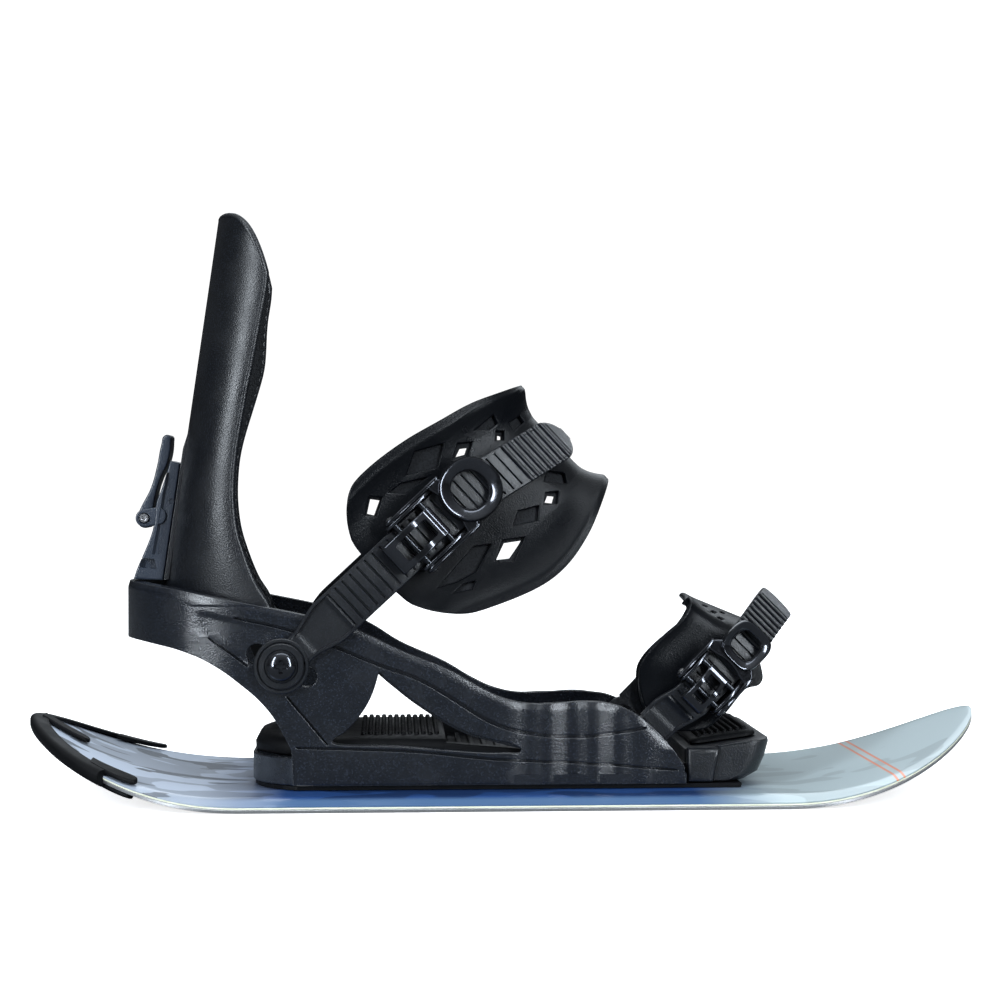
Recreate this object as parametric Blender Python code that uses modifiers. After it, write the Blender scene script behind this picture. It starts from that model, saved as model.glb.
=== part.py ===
"""Skiboard with a strap binding, one board of a pair.

Metres, +Z up, +X towards the nose, -Y is the buckle side. The origin is under the middle of the board,
on the surface that it stands on. Each sub-part is one object. Cutters are kept in a second collection.
"""

import bisect
import math

import bmesh
import bpy
from mathutils import Matrix, Vector

# Running and seating gaps between pieces
GAP = 0.0003
PIN_GAP = 0.0003

# Board
BOARD_LENGTH = 0.436
TAIL_TIP = -0.216
NOSE_TIP = TAIL_TIP + BOARD_LENGTH
BOARD_HALF_WIDTH = 0.075
TAPER_POWER = 1.75
NOSE_BEND_RADIUS = 0.172
TAIL_BEND_RADIUS = 0.172
EDGE_HEIGHT = 0.0015
EDGE_WIDTH = 0.0022
TOPSHEET_THICKNESS = 0.0005
LAYER_GAP = 0.0002
CAP_EDGE_HEIGHT = 0.0030
CAP_MIDDLE_HEIGHT = 0.0058
CAP_TIP_HEIGHT = 0.0036
CAP_SHOULDER_WIDTH = 0.010
TIP_STEPS = 10

# Inserts and disc screws
SCREW_PITCH = 0.040
INSERT_RADIUS = 0.0045
INSERT_HEIGHT = 0.0028
INSERT_BORE = 0.0022
SCREW_RADIUS = 0.0030
SCREW_HEAD_RADIUS = 0.0055
SCREW_HEAD_HEIGHT = 0.0026

# Tail bumper
BUMPER_WALL = 0.0040
BUMPER_LIP = 0.0045
BUMPER_LIP_THICKNESS = 0.0026
BUMPER_HALF_SPAN = 0.0585
BUMPER_PLAY = 0.0006
BUMPER_LEG_START = -0.184
BUMPER_LEG_END = -0.164
BUMPER_LEG_WIDTH = 0.010
BUMPER_FINGER_START = -0.2135
BUMPER_FINGER_END = -0.193
BUMPER_FINGER_HALF_WIDTH = 0.0045
BUMPER_TAB_THICKNESS = 0.0021

# Binding base
BASE_HALF_WIDTH = 0.052
BASE_HEEL = -0.1162
BASE_FRONT = 0.078
HEEL_CORNER_RADIUS = 0.032
GASKET_THICKNESS = 0.0018
FLOOR_THICKNESS = 0.0045
SLAB_HEEL_TOP = 0.0205
SLAB_FRONT_TOP = 0.0143
RAIL_THICKNESS = 0.007
HOOP_BACK = -0.175
HOOP_START = -0.118
HOOP_THICKNESS = 0.006
DISC_RADIUS = 0.0375
DISC_FLANGE = 0.004
DISC_FLANGE_THICKNESS = 0.003

# The board stays flat under the binding, bends up past it, and narrows a little further out
RAMP_FRONT = 0.1170
NOSE_FLAT_MARGIN = 0.0010
TAIL_FLAT_MARGIN = 0.0018
BEND_TO_TAPER = 0.014
NOSE_BEND_START = RAMP_FRONT + NOSE_FLAT_MARGIN
TAIL_BEND_START = BASE_HEEL - TAIL_FLAT_MARGIN
NOSE_TAPER_START = NOSE_BEND_START + BEND_TO_TAPER
TAIL_TAPER_START = TAIL_BEND_START - BEND_TO_TAPER

# Footbeds and toe ramp
FOOTBED_SIDE_GAP = 0.0004
HEEL_PAD_TOP = 0.0290
HEEL_PAD_SIDE_TOP = 0.0270
HEEL_PAD_SIDE_WIDTH = 0.030
HEEL_PAD_ROUNDING = 0.0030
HEEL_PAD_FRONT = -0.028
FRONT_PAD_THICKNESS = 0.004
FRONT_PAD_FRONT = 0.042
RAMP_HALF_WIDTH = BASE_HALF_WIDTH - 0.005
RAMP_EDGE_TOP = 0.0280
RAMP_BACK_TOP = 0.0225
RAMP_TONGUE_BACK = 0.046
RAMP_TRAVEL = 0.010
RAMP_SCREW_X = 0.058
RAMP_SCREW_Y = 0.028
RAMP_SCREW_RADIUS = 0.0021
RAMP_PAD_HALF_WIDTH = RAMP_HALF_WIDTH - 0.010
RAMP_PAD_THICKNESS = 0.0045

# Highback
HIGHBACK_BOTTOM = 0.079
HIGHBACK_TOP = 0.266
HIGHBACK_SPINE_FOOT_X = -0.1575
HIGHBACK_SPINE_FOOT_Z = 0.097
HIGHBACK_SPINE_SLOPE = 0.145
HIGHBACK_SIDE_ROOM = 0.0025
HIGHBACK_TAPER = 0.0045
HIGHBACK_HALF_WIDTH_LOW = BASE_HALF_WIDTH - RAIL_THICKNESS - HIGHBACK_SIDE_ROOM
HIGHBACK_HALF_WIDTH_TOP = HIGHBACK_HALF_WIDTH_LOW - HIGHBACK_TAPER
HIGHBACK_CORNER_DROP = 0.030
FAR_WING_SET_BACK = 0.0045
SHELL_THICKNESS = 0.0035
LINER_THICKNESS = 0.0035
LINER_REACH = 0.0012
EAR_THICKNESS = 0.003
EAR_RADIUS = 0.0105

# Lean adjuster
LEAN_HALF_WIDTH = 0.014
LEAN_SEAT_TOP = 0.172
LEAN_PIN_X = -0.1664
LEAN_PIN_Z = 0.1261
LEAN_PIN_RADIUS = 0.0021
LEVER_HALF_WIDTH = 0.0085

# Straps
STRAP_BOLT_X = -0.1018
STRAP_BOLT_Z = 0.0616
ANKLE_TILT = math.radians(43)
ANKLE_HEIGHT = 0.1635
TOE_BOLT_X = 0.0604
TOE_BOLT_Z = 0.0286
TOE_TILT = math.radians(45)
TOE_HEIGHT = 0.0745
BOLT_RADIUS = 0.0030
BOLT_HEAD_RADIUS = 0.0064
BOLT_HEAD_HEIGHT = 0.0030
WASHER_RADIUS = 0.0104
WASHER_THICKNESS = 0.0012
NUT_RADIUS = 0.0072
NUT_THICKNESS = 0.0035
ANKLE_LADDER_WIDTH = 0.0212
TOE_LADDER_WIDTH = 0.0178
LADDER_THICKNESS = 0.0026
TOOTH_PITCH = 0.0044
TOOTH_HEIGHT = 0.0012
EYE_RIM = 0.0001
ANKLE_EYE_RADIUS = 0.0122
TOE_EYE_RADIUS = 0.0092
PAD_THICKNESS = 0.0028
PAD_OFFSET = 0.0062
PAD_END_FROM = 0.84
PAD_END_ROUNDING = 0.75
ANKLE_HALF_SPAN = BASE_HALF_WIDTH + 0.0004 + LADDER_THICKNESS / 2
TOE_HALF_SPAN = BASE_HALF_WIDTH - RAIL_THICKNESS - 0.0007 - LADDER_THICKNESS / 2

TOE_PAD_CONE = 0.5
TOE_BUCKLE_SHIFT = 0.0028
ANKLE_PAD_HOLES = (
    (3, 1), (4, 1), (6, 2), (7, 2), (3, 6), (4, 6), (6, 6),
    (9, 3), (10, 3), (9, 5), (10, 5),
    (12, 2), (13, 2), (15, 1), (16, 1), (13, 6), (15, 6), (16, 6),
)
TOE_PAD_HOLES = ((8, 1), (11, 1))

# Buckles, sizes of the ankle buckle; the toe buckle is a little smaller
TOE_BUCKLE_SCALE = 0.72
FRAME_WALL = 0.0015
LEVER_WALL = 0.0018
RING_HALF_WIDTH = 0.0136
BUCKLE_PIN_RADIUS = 0.0014

parts = None
cutters = None


def clear_scene():
    for obj in list(bpy.data.objects):
        bpy.data.objects.remove(obj, do_unlink=True)


def new_collection(name):
    collection = bpy.data.collections.new(name)
    bpy.context.scene.collection.children.link(collection)
    return collection


def finish_material(name, colour, roughness, metallic=0.0):
    found = bpy.data.materials.get(name)
    if found:
        return found
    made = bpy.data.materials.new(name)
    made.use_nodes = True
    shader = made.node_tree.nodes["Principled BSDF"]
    shader.inputs["Base Color"].default_value = (*colour, 1.0)
    shader.inputs["Roughness"].default_value = roughness
    shader.inputs["Metallic"].default_value = metallic
    made.diffuse_color = (*colour, 1.0)
    return made


def black_nylon():
    return finish_material("black_nylon", (0.020, 0.024, 0.030), 0.42)


def black_rubber():
    return finish_material("black_rubber", (0.016, 0.017, 0.019), 0.75)


def black_metal():
    return finish_material("black_metal", (0.03, 0.03, 0.035), 0.22, 0.9)


def bright_steel():
    return finish_material("bright_steel", (0.62, 0.62, 0.63), 0.28, 1.0)


# Building blocks


def add_mesh(name, mesh, material, matrix=None, is_cutter=False):
    obj = bpy.data.objects.new(name, mesh)
    if matrix is not None:
        obj.matrix_world = matrix
    if is_cutter:
        cutters.objects.link(obj)
        obj.hide_render = True
        obj.display_type = "WIRE"
    else:
        parts.objects.link(obj)
        mesh.materials.clear()
        mesh.materials.append(material)
    return obj


def mesh_from(name, bm):
    bmesh.ops.recalc_face_normals(bm, faces=bm.faces)
    mesh = bpy.data.meshes.new(name)
    bm.to_mesh(mesh)
    bm.free()
    return mesh


def round_shading(obj, angle=35):
    obj.data.shade_smooth()
    obj.data.set_sharp_from_angle(angle=math.radians(angle))
    return obj


def circle(x, y, radius, count=24):
    """Outline points of a round hole or disc."""
    turn = 2 * math.pi / count
    return [(x + radius * math.cos(i * turn), y + radius * math.sin(i * turn)) for i in range(count)]


def rectangle(x0, y0, x1, y1):
    return [(x0, y0), (x1, y0), (x1, y1), (x0, y1)]


def capsule(x0, y0, x1, y1, radius, count=8):
    """Outline of a slot with round ends between two centres."""
    angle = math.atan2(y1 - y0, x1 - x0)
    ends = ((x1, y1, angle - math.pi / 2), (x0, y0, angle + math.pi / 2))
    step = math.pi / count
    return [
        (x + radius * math.cos(start + i * step), y + radius * math.sin(start + i * step))
        for x, y, start in ends
        for i in range(count + 1)
    ]


def outline_mesh(name, outlines, depth, curve_steps=3):
    """Flat outlines filled and given a depth. A point with a third value is rounded, others are corners."""
    curve = bpy.data.curves.new(name, "CURVE")
    curve.dimensions = "2D"
    curve.fill_mode = "BOTH"
    curve.extrude = depth / 2
    curve.resolution_u = curve_steps
    for outline in outlines:
        spline = curve.splines.new("BEZIER")
        spline.bezier_points.add(len(outline) - 1)
        spline.use_cyclic_u = True
        for knot, point in zip(spline.bezier_points, outline):
            knot.co = (point[0], point[1], 0.0)
            kind = "AUTO" if len(point) == 3 else "VECTOR"
            knot.handle_left_type = kind
            knot.handle_right_type = kind
    guide = bpy.data.objects.new(name + "_curve", curve)
    cutters.objects.link(guide)
    depsgraph = bpy.context.evaluated_depsgraph_get()
    mesh = bpy.data.meshes.new_from_object(guide.evaluated_get(depsgraph))
    bpy.data.objects.remove(guide)
    bm = bmesh.new()
    bm.from_mesh(mesh)
    bmesh.ops.remove_doubles(bm, verts=bm.verts, dist=0.00001)
    bpy.data.meshes.remove(mesh)
    return mesh_from(name, bm)


def standing(y_middle):
    """Placement that stands an X-Z outline upright, centred at a Y."""
    return Matrix.Translation((0, y_middle, 0)) @ Matrix.Rotation(math.pi / 2, 4, "X")


def lying(z_middle):
    return Matrix.Translation((0, 0, z_middle))


def prism(name, outlines, low, high, material=None, upright=False, is_cutter=False, curve_steps=3):
    """Outline given a depth along Z, or along Y when upright."""
    mesh = outline_mesh(name, outlines, high - low, curve_steps)
    middle = (low + high) / 2
    return add_mesh(name, mesh, material, standing(middle) if upright else lying(middle), is_cutter)


def boolean(target, tool, operation):
    step = target.modifiers.new(tool.name, "BOOLEAN")
    step.operation = operation
    step.solver = "EXACT"
    step.object = tool


def cut(target, tool):
    boolean(target, tool, "DIFFERENCE")


def join(target, tool):
    boolean(target, tool, "UNION")


def keep_common(target, tool):
    boolean(target, tool, "INTERSECT")


def soften(obj, width, segments=2, angle=40):
    step = obj.modifiers.new("edges", "BEVEL")
    step.width = width
    step.segments = segments
    step.limit_method = "ANGLE"
    step.angle_limit = math.radians(angle)
    step.use_clamp_overlap = True
    return obj


def turned(name, profile, steps, matrix, material=None, is_cutter=False):
    """Turned piece. The profile runs down its outer side from the top of the axis to the bottom of it."""
    bm = bmesh.new()
    verts = [bm.verts.new((radius, 0, height)) for radius, height in profile]
    for first, second in zip(verts, verts[1:]):
        bm.edges.new((first, second))
    mesh = bpy.data.meshes.new(name)
    bm.to_mesh(mesh)
    bm.free()
    obj = add_mesh(name, mesh, material, matrix, is_cutter)
    screw = obj.modifiers.new("turn", "SCREW")
    screw.steps = steps
    screw.render_steps = steps
    screw.use_merge_vertices = True
    screw.merge_threshold = 0.00002
    screw.use_normal_calculate = False
    return obj


def loft(name, sections, material, closed=False, is_cutter=False):
    """Skin through sections of equal point count, capped at both ends unless it closes on itself."""
    bm = bmesh.new()
    rings = [[bm.verts.new(point) for point in section] for section in sections]
    count = len(rings[0])
    pairs = list(zip(rings, rings[1:]))
    if closed:
        pairs.append((rings[-1], rings[0]))
    for first, second in pairs:
        for i in range(count):
            j = (i + 1) % count
            bm.faces.new((first[i], first[j], second[j], second[i]))
    if not closed:
        bm.faces.new(list(reversed(rings[0])))
        bm.faces.new(rings[-1])
    return add_mesh(name, mesh_from(name, bm), material, None, is_cutter)


def facing_side(x, y, z, side):
    """Placement of a turned piece whose +Z points out of the near (-1) or far (+1) side."""
    return Matrix.Translation((x, y, z)) @ Matrix.Rotation(-side * math.pi / 2, 4, "X")


# Board


def rise(x):
    """Height of the running surface above the floor."""
    if x > NOSE_BEND_START:
        reach = x - NOSE_BEND_START
        return NOSE_BEND_RADIUS - math.sqrt(NOSE_BEND_RADIUS**2 - reach**2)
    if x < TAIL_BEND_START:
        reach = TAIL_BEND_START - x
        return TAIL_BEND_RADIUS - math.sqrt(TAIL_BEND_RADIUS**2 - reach**2)
    return 0.0


def tip_point(angle, taper_start, tip):
    power = 2 / TAPER_POWER
    return (
        taper_start + (tip - taper_start) * math.sin(angle) ** power,
        BOARD_HALF_WIDTH * math.cos(angle) ** power,
    )


def side_points(inset, tip_steps=TIP_STEPS):
    """Points (x, half width) of the board's outline from tail to nose, moved inwards by the inset."""
    points = [(TAIL_TIP + inset, 0.0)]
    small = 0.001
    for tip_end, taper_start in ((TAIL_TIP, TAIL_TAPER_START), (NOSE_TIP, NOSE_TAPER_START)):
        run = []
        for i in range(1, tip_steps):
            angle = math.pi / 2 * i / tip_steps
            x, y = tip_point(angle, taper_start, tip_end)
            x0, y0 = tip_point(angle - small, taper_start, tip_end)
            x1, y1 = tip_point(angle + small, taper_start, tip_end)
            normal = Vector((y0 - y1, x1 - x0)).normalized()
            if tip_end < 0:
                normal.negate()
            run.append((x - inset * normal.x, y - inset * normal.y))
        if tip_end < 0:
            points += reversed(run)
            points.append((TAIL_TAPER_START, BOARD_HALF_WIDTH - inset))
            points.append((TAIL_BEND_START, BOARD_HALF_WIDTH - inset))
            points.append((NOSE_BEND_START, BOARD_HALF_WIDTH - inset))
            points.append((NOSE_TAPER_START, BOARD_HALF_WIDTH - inset))
        else:
            points += run
    points.append((NOSE_TIP - inset, 0.0))
    return points


def cap_height(x, from_edge):
    """Height of the top of the board above its running surface."""
    if x > NOSE_BEND_START:
        share = (x - NOSE_BEND_START) / (NOSE_TIP - NOSE_BEND_START)
    elif x < TAIL_BEND_START:
        share = (TAIL_BEND_START - x) / (TAIL_BEND_START - TAIL_TIP)
    else:
        share = 0.0
    middle = CAP_MIDDLE_HEIGHT + (CAP_TIP_HEIGHT - CAP_MIDDLE_HEIGHT) * min(1.0, 1.4 * share)
    slope = min(1.0, from_edge / CAP_SHOULDER_WIDTH)
    return CAP_EDGE_HEIGHT + (middle - CAP_EDGE_HEIGHT) * slope


def board_layer(name, inset, low, high, rows, material):
    """Board layer between two height rules. Rows are distances in from the layer's own edge."""
    points = side_points(inset)
    across = [("near", d) for d in rows] + [("far", d) for d in reversed(rows)]
    bm = bmesh.new()
    bmesh.ops.create_grid(bm, x_segments=len(points) - 1, y_segments=len(across) - 1, size=1.0)
    span_x, span_y = len(points) - 1, len(across) - 1
    for vert in bm.verts:
        i = round((vert.co.x + 1) / 2 * span_x)
        j = round((vert.co.y + 1) / 2 * span_y)
        x, half = points[i]
        side, distance = across[j]
        reach = max(0.0, half - distance * min(1.0, half / 0.02))
        vert.co = (x, -reach if side == "near" else reach, 0.0)
    top = bmesh.ops.extrude_face_region(bm, geom=bm.faces[:])["geom"]
    raised = {v for v in top if isinstance(v, bmesh.types.BMVert)}
    for vert in bm.verts:
        half = next_half(points, vert.co.x)
        from_edge = inset + half - abs(vert.co.y)
        rule = high if vert in raised else low
        vert.co.z = rise(vert.co.x) + rule(vert.co.x, from_edge)
    bmesh.ops.remove_doubles(bm, verts=bm.verts, dist=0.00002)
    return round_shading(add_mesh(name, mesh_from(name, bm), material), 20)


def next_half(points, x):
    """Half width of the outline at one of its own stations."""
    return min(points, key=lambda point: abs(point[0] - x))[1]


def make_board():
    core_wood = finish_material("pale_core", (0.66, 0.68, 0.50), 0.5)
    base_plastic = finish_material("board_base", (0.05, 0.05, 0.06), 0.4)
    top_print = finish_material("board_topsheet", (0.18, 0.26, 0.38), 0.22)
    board_layer(
        "base_sheet", EDGE_WIDTH + LAYER_GAP, lambda x, d: 0.0, lambda x, d: EDGE_HEIGHT, (0.0,), base_plastic
    )
    make_steel_edge()
    core_low = EDGE_HEIGHT + LAYER_GAP
    rows = (0.0, CAP_SHOULDER_WIDTH)
    core = board_layer(
        "ski_core",
        0.0,
        lambda x, d: core_low,
        lambda x, d: cap_height(x, d) - TOPSHEET_THICKNESS - LAYER_GAP,
        rows,
        core_wood,
    )
    topsheet = board_layer(
        "topsheet",
        0.0,
        lambda x, d: cap_height(x, d) - TOPSHEET_THICKNESS,
        cap_height,
        rows,
        top_print,
    )
    make_inserts(core, topsheet)


def make_steel_edge():
    sections = []
    outer = side_points(0.0)
    inner = side_points(EDGE_WIDTH)
    loop = list(zip(outer, inner))
    for side in (-1, 1):
        run = loop if side < 0 else list(reversed(loop))[1:-1]
        for (xo, ho), (xi, hi) in run:
            sections.append(
                (
                    (xo, side * ho, rise(xo)),
                    (xo, side * ho, rise(xo) + EDGE_HEIGHT),
                    (xi, side * hi, rise(xi) + EDGE_HEIGHT),
                    (xi, side * hi, rise(xi)),
                )
            )
    loft("steel_edge", sections, bright_steel(), closed=True)


def screw_places():
    half = SCREW_PITCH / 2
    return [(x, y) for x in (-half, half) for y in (-half, half)]


def make_inserts(core, topsheet):
    brass = finish_material("brass", (0.70, 0.52, 0.22), 0.35, 1.0)
    low = EDGE_HEIGHT + LAYER_GAP + 0.0003
    high = low + INSERT_HEIGHT
    for number, (x, y) in enumerate(screw_places(), 1):
        hole = [circle(x, y, INSERT_BORE, 12)]
        prism(f"insert_{number}", [circle(x, y, INSERT_RADIUS, 16)] + hole, low, high, brass)
        above = CAP_MIDDLE_HEIGHT * 2
        pocket_rim = [circle(x, y, INSERT_RADIUS + GAP, 16)]
        cut(core, prism(f"insert_pocket_{number}", pocket_rim, low - GAP, above, is_cutter=True))
        way_rim = [circle(x, y, SCREW_RADIUS + GAP, 16)]
        cut(topsheet, prism(f"screw_way_{number}", way_rim, low, above, is_cutter=True))


def bumper_section(x, half, side, normal, lip, wall):
    """C-shaped section that clasps the board's edge."""
    low = rise(x)
    high = low + cap_height(x, 0.0)
    inner_x = x + normal[0] * GAP
    inner_y = half + normal[1] * GAP
    out_x = x + normal[0] * wall
    out_y = half + normal[1] * wall
    lip_x = x - normal[0] * lip
    lip_y = half - normal[1] * lip
    lip_low = rise(lip_x)
    lip_high = lip_low + cap_height(lip_x, lip) + BUMPER_PLAY
    return [
        (out_x, side * out_y, low - BUMPER_LIP_THICKNESS * 0.4),
        (out_x, side * out_y, high + BUMPER_LIP_THICKNESS),
        (lip_x, side * lip_y, lip_high + BUMPER_LIP_THICKNESS),
        (lip_x, side * lip_y, lip_high + GAP),
        (inner_x, side * inner_y, high + GAP),
        (inner_x, side * inner_y, low - GAP),
        (lip_x, side * lip_y, lip_low - GAP - BUMPER_PLAY),
        (lip_x, side * lip_y, lip_low - BUMPER_LIP_THICKNESS * 0.6),
    ]


def half_width_at(x):
    """Half width of the board at any station along it."""
    points = side_points(0.0)
    for (x0, half0), (x1, half1) in zip(points, points[1:]):
        if x <= x1:
            return half0 + (half1 - half0) * (x - x0) / (x1 - x0)
    return 0.0


def top_height(x, y):
    return rise(x) + cap_height(x, half_width_at(x) - abs(y))


def bumper_tab(bumper, name, start, end, edges, under=False):
    """Flat tab of the bumper along the board. Edges is a rule that gives its two sides at a station."""
    count = 5
    sections = []
    for i in range(count + 1):
        x = start + (end - start) * i / count
        first, second = edges(x)
        if under:
            high = rise(x) - GAP
            low = high - BUMPER_TAB_THICKNESS
            lows, highs = (low, low), (high, high)
        else:
            lows = [top_height(x, y) + GAP + BUMPER_PLAY for y in (first, second)]
            highs = [low + BUMPER_TAB_THICKNESS for low in lows]
        sections.append(
            ((x, first, lows[0]), (x, second, lows[1]), (x, second, highs[1]), (x, first, highs[0]))
        )
    join(bumper, loft(name, sections, None, is_cutter=True))


def make_tail_bumper():
    points = side_points(0.0)
    outside = side_points(-0.001)
    run = []
    for (x, half), (xo, ho) in zip(points, outside):
        normal = ((xo - x) / 0.001, (ho - half) / 0.001)
        if half > BUMPER_HALF_SPAN:
            last_x, last_half, last_normal = run[-1]
            share = (BUMPER_HALF_SPAN - last_half) / (half - last_half)
            run.append((last_x + (x - last_x) * share, BUMPER_HALF_SPAN, last_normal))
            break
        run.append((x, half, normal))
    near = [bumper_section(x, h, -1, n, BUMPER_LIP, BUMPER_WALL) for x, h, n in reversed(run)]
    far = [bumper_section(x, h, 1, n, BUMPER_LIP, BUMPER_WALL) for x, h, n in run[1:]]
    bumper = loft("tail_bumper", near + far, black_rubber())
    inset = 0.0015
    for name, side in (("near", -1), ("far", 1)):

        def leg(x, side=side):
            outer = half_width_at(x) - inset
            return side * outer, side * (outer - BUMPER_LEG_WIDTH)

        bumper_tab(bumper, f"bumper_leg_{name}", BUMPER_LEG_START, BUMPER_LEG_END, leg)
        bumper_tab(bumper, f"bumper_tab_{name}", BUMPER_LEG_START, BUMPER_LEG_END - 0.002, leg, under=True)
    half = BUMPER_FINGER_HALF_WIDTH
    bumper_tab(bumper, "bumper_finger", BUMPER_FINGER_START, BUMPER_FINGER_END, lambda x: (-half, half))
    return bumper


def base_bottom():
    return CAP_MIDDLE_HEIGHT + GAP + GASKET_THICKNESS + GAP


def floor_top():
    return base_bottom() + FLOOR_THICKNESS


def heel_outline(inset, front, half_width, steps=8):
    """Base outline with a rounded heel, moved inwards, cut straight at the front."""
    radius = HEEL_CORNER_RADIUS - inset
    heel = BASE_HEEL + inset
    half = BASE_HALF_WIDTH - inset
    reach = min(half, half_width)
    corner = []
    for i in range(steps + 1):
        angle = math.pi / 2 * i / steps
        x = heel + radius - radius * math.cos(angle)
        y = half - radius + radius * math.sin(angle)
        if y <= reach:
            corner.append((x, y))
    last_y = reach
    last_x = heel + radius - math.sqrt(max(0.0, radius**2 - (last_y - half + radius) ** 2))
    if corner[-1][1] < last_y - 0.0001:
        corner.append((last_x, last_y))
    far = corner + [(front, last_y)]
    near = [(x, -y) for x, y in reversed(far)]
    return near + far


def wall_outline(inset, front, steps=12):
    """Plan of the rails and the hoop that joins them behind the heel."""
    half = BASE_HALF_WIDTH - inset
    back = HOOP_BACK + min(inset, HOOP_THICKNESS)
    depth = HOOP_START - back
    points = [(front, -half)]
    for i in range(2 * steps + 1):
        angle = -math.pi / 2 + math.pi / 2 * i / steps
        points.append((HOOP_START - depth * math.cos(angle), half * math.sin(angle)))
    points.append((front, half))
    return points


def rail_outline():
    """Side view of the rail and the hoop. A third value marks a rounded point."""
    low = base_bottom()
    return [
        (-0.1850, 0.0985),
        (-0.1520, 0.0952, 1),
        (-0.1270, 0.0907, 1),
        (-0.1080, 0.0871, 1),
        (-0.0910, 0.0836, 1),
        (-0.0750, 0.0800, 1),
        (-0.0620, 0.0742, 1),
        (-0.0500, 0.0684, 1),
        (-0.0276, 0.0592, 1),
        (-0.0134, 0.0510, 1),
        (-0.0032, 0.0464, 1),
        (0.0079, 0.0440, 1),
        (0.0213, 0.0443, 1),
        (0.0346, 0.0448, 1),
        (0.0445, 0.0437, 1),
        (0.0534, 0.0403, 1),
        (0.0623, 0.0340, 1),
        (0.0704, 0.0255, 1),
        (BASE_FRONT - 0.0010, 0.0160),
        (BASE_FRONT - 0.0005, low + 0.0005),
        (-0.0970, low + 0.0005),
        (-0.0975, 0.0240),
        (-0.0995, 0.0280, 1),
        (-0.1052, 0.0381, 1),
        (-0.1113, 0.0456, 1),
        (-0.1200, 0.0532, 1),
        (-0.1306, 0.0607, 1),
        (-0.1419, 0.0661, 1),
        (-0.1580, 0.0700, 1),
        (-0.1850, 0.0725),
    ]


def window_outline():
    return [
        (-0.0596, 0.0577),
        (-0.0541, 0.0529, 1),
        (-0.0395, 0.0417, 1),
        (-0.0209, 0.0309, 1),
        (-0.0098, 0.0275, 1),
        (0.0010, 0.0245, 1),
        (0.0040, 0.0232, 1),
        (-0.0020, 0.0222, 1),
        (-0.0497, 0.0253, 1),
        (-0.0780, 0.0272, 1),
        (-0.0785, 0.0285, 1),
        (-0.0732, 0.0338, 1),
        (-0.0688, 0.0382, 1),
        (-0.0637, 0.0448, 1),
        (-0.0615, 0.0507, 1),
    ]


def far_rail_cutter():
    """The far rail is lower than the near one, from the boot's heel to the ball of the foot."""
    lowered_edge = [
        (-0.0800, 0.0856),
        (-0.0620, 0.0727, 1),
        (-0.0500, 0.0651, 1),
        (-0.0276, 0.0549, 1),
        (-0.0134, 0.0466, 1),
        (-0.0032, 0.0420, 1),
        (0.0079, 0.0397, 1),
        (0.0213, 0.0398, 1),
        (0.0346, 0.0403, 1),
        (0.0445, 0.0397, 1),
        (0.0534, 0.0381, 1),
        (0.0650, 0.0345),
        (0.0650, 0.1200),
        (-0.0800, 0.1200),
    ]
    return prism("far_rail_drop", [lowered_edge], 0.020, 0.10, upright=True, is_cutter=True)


def make_gasket():
    low = CAP_MIDDLE_HEIGHT + GAP
    outline = heel_outline(0.001, RAMP_FRONT - 0.014, BASE_HALF_WIDTH - 0.003)
    holes = [circle(x, y, SCREW_RADIUS + 0.001, 12) for x, y in screw_places()]
    foam = finish_material("foam", (0.02, 0.02, 0.022), 0.9)
    prism("base_gasket", [outline] + holes, low, low + GASKET_THICKNESS, foam)


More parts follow.
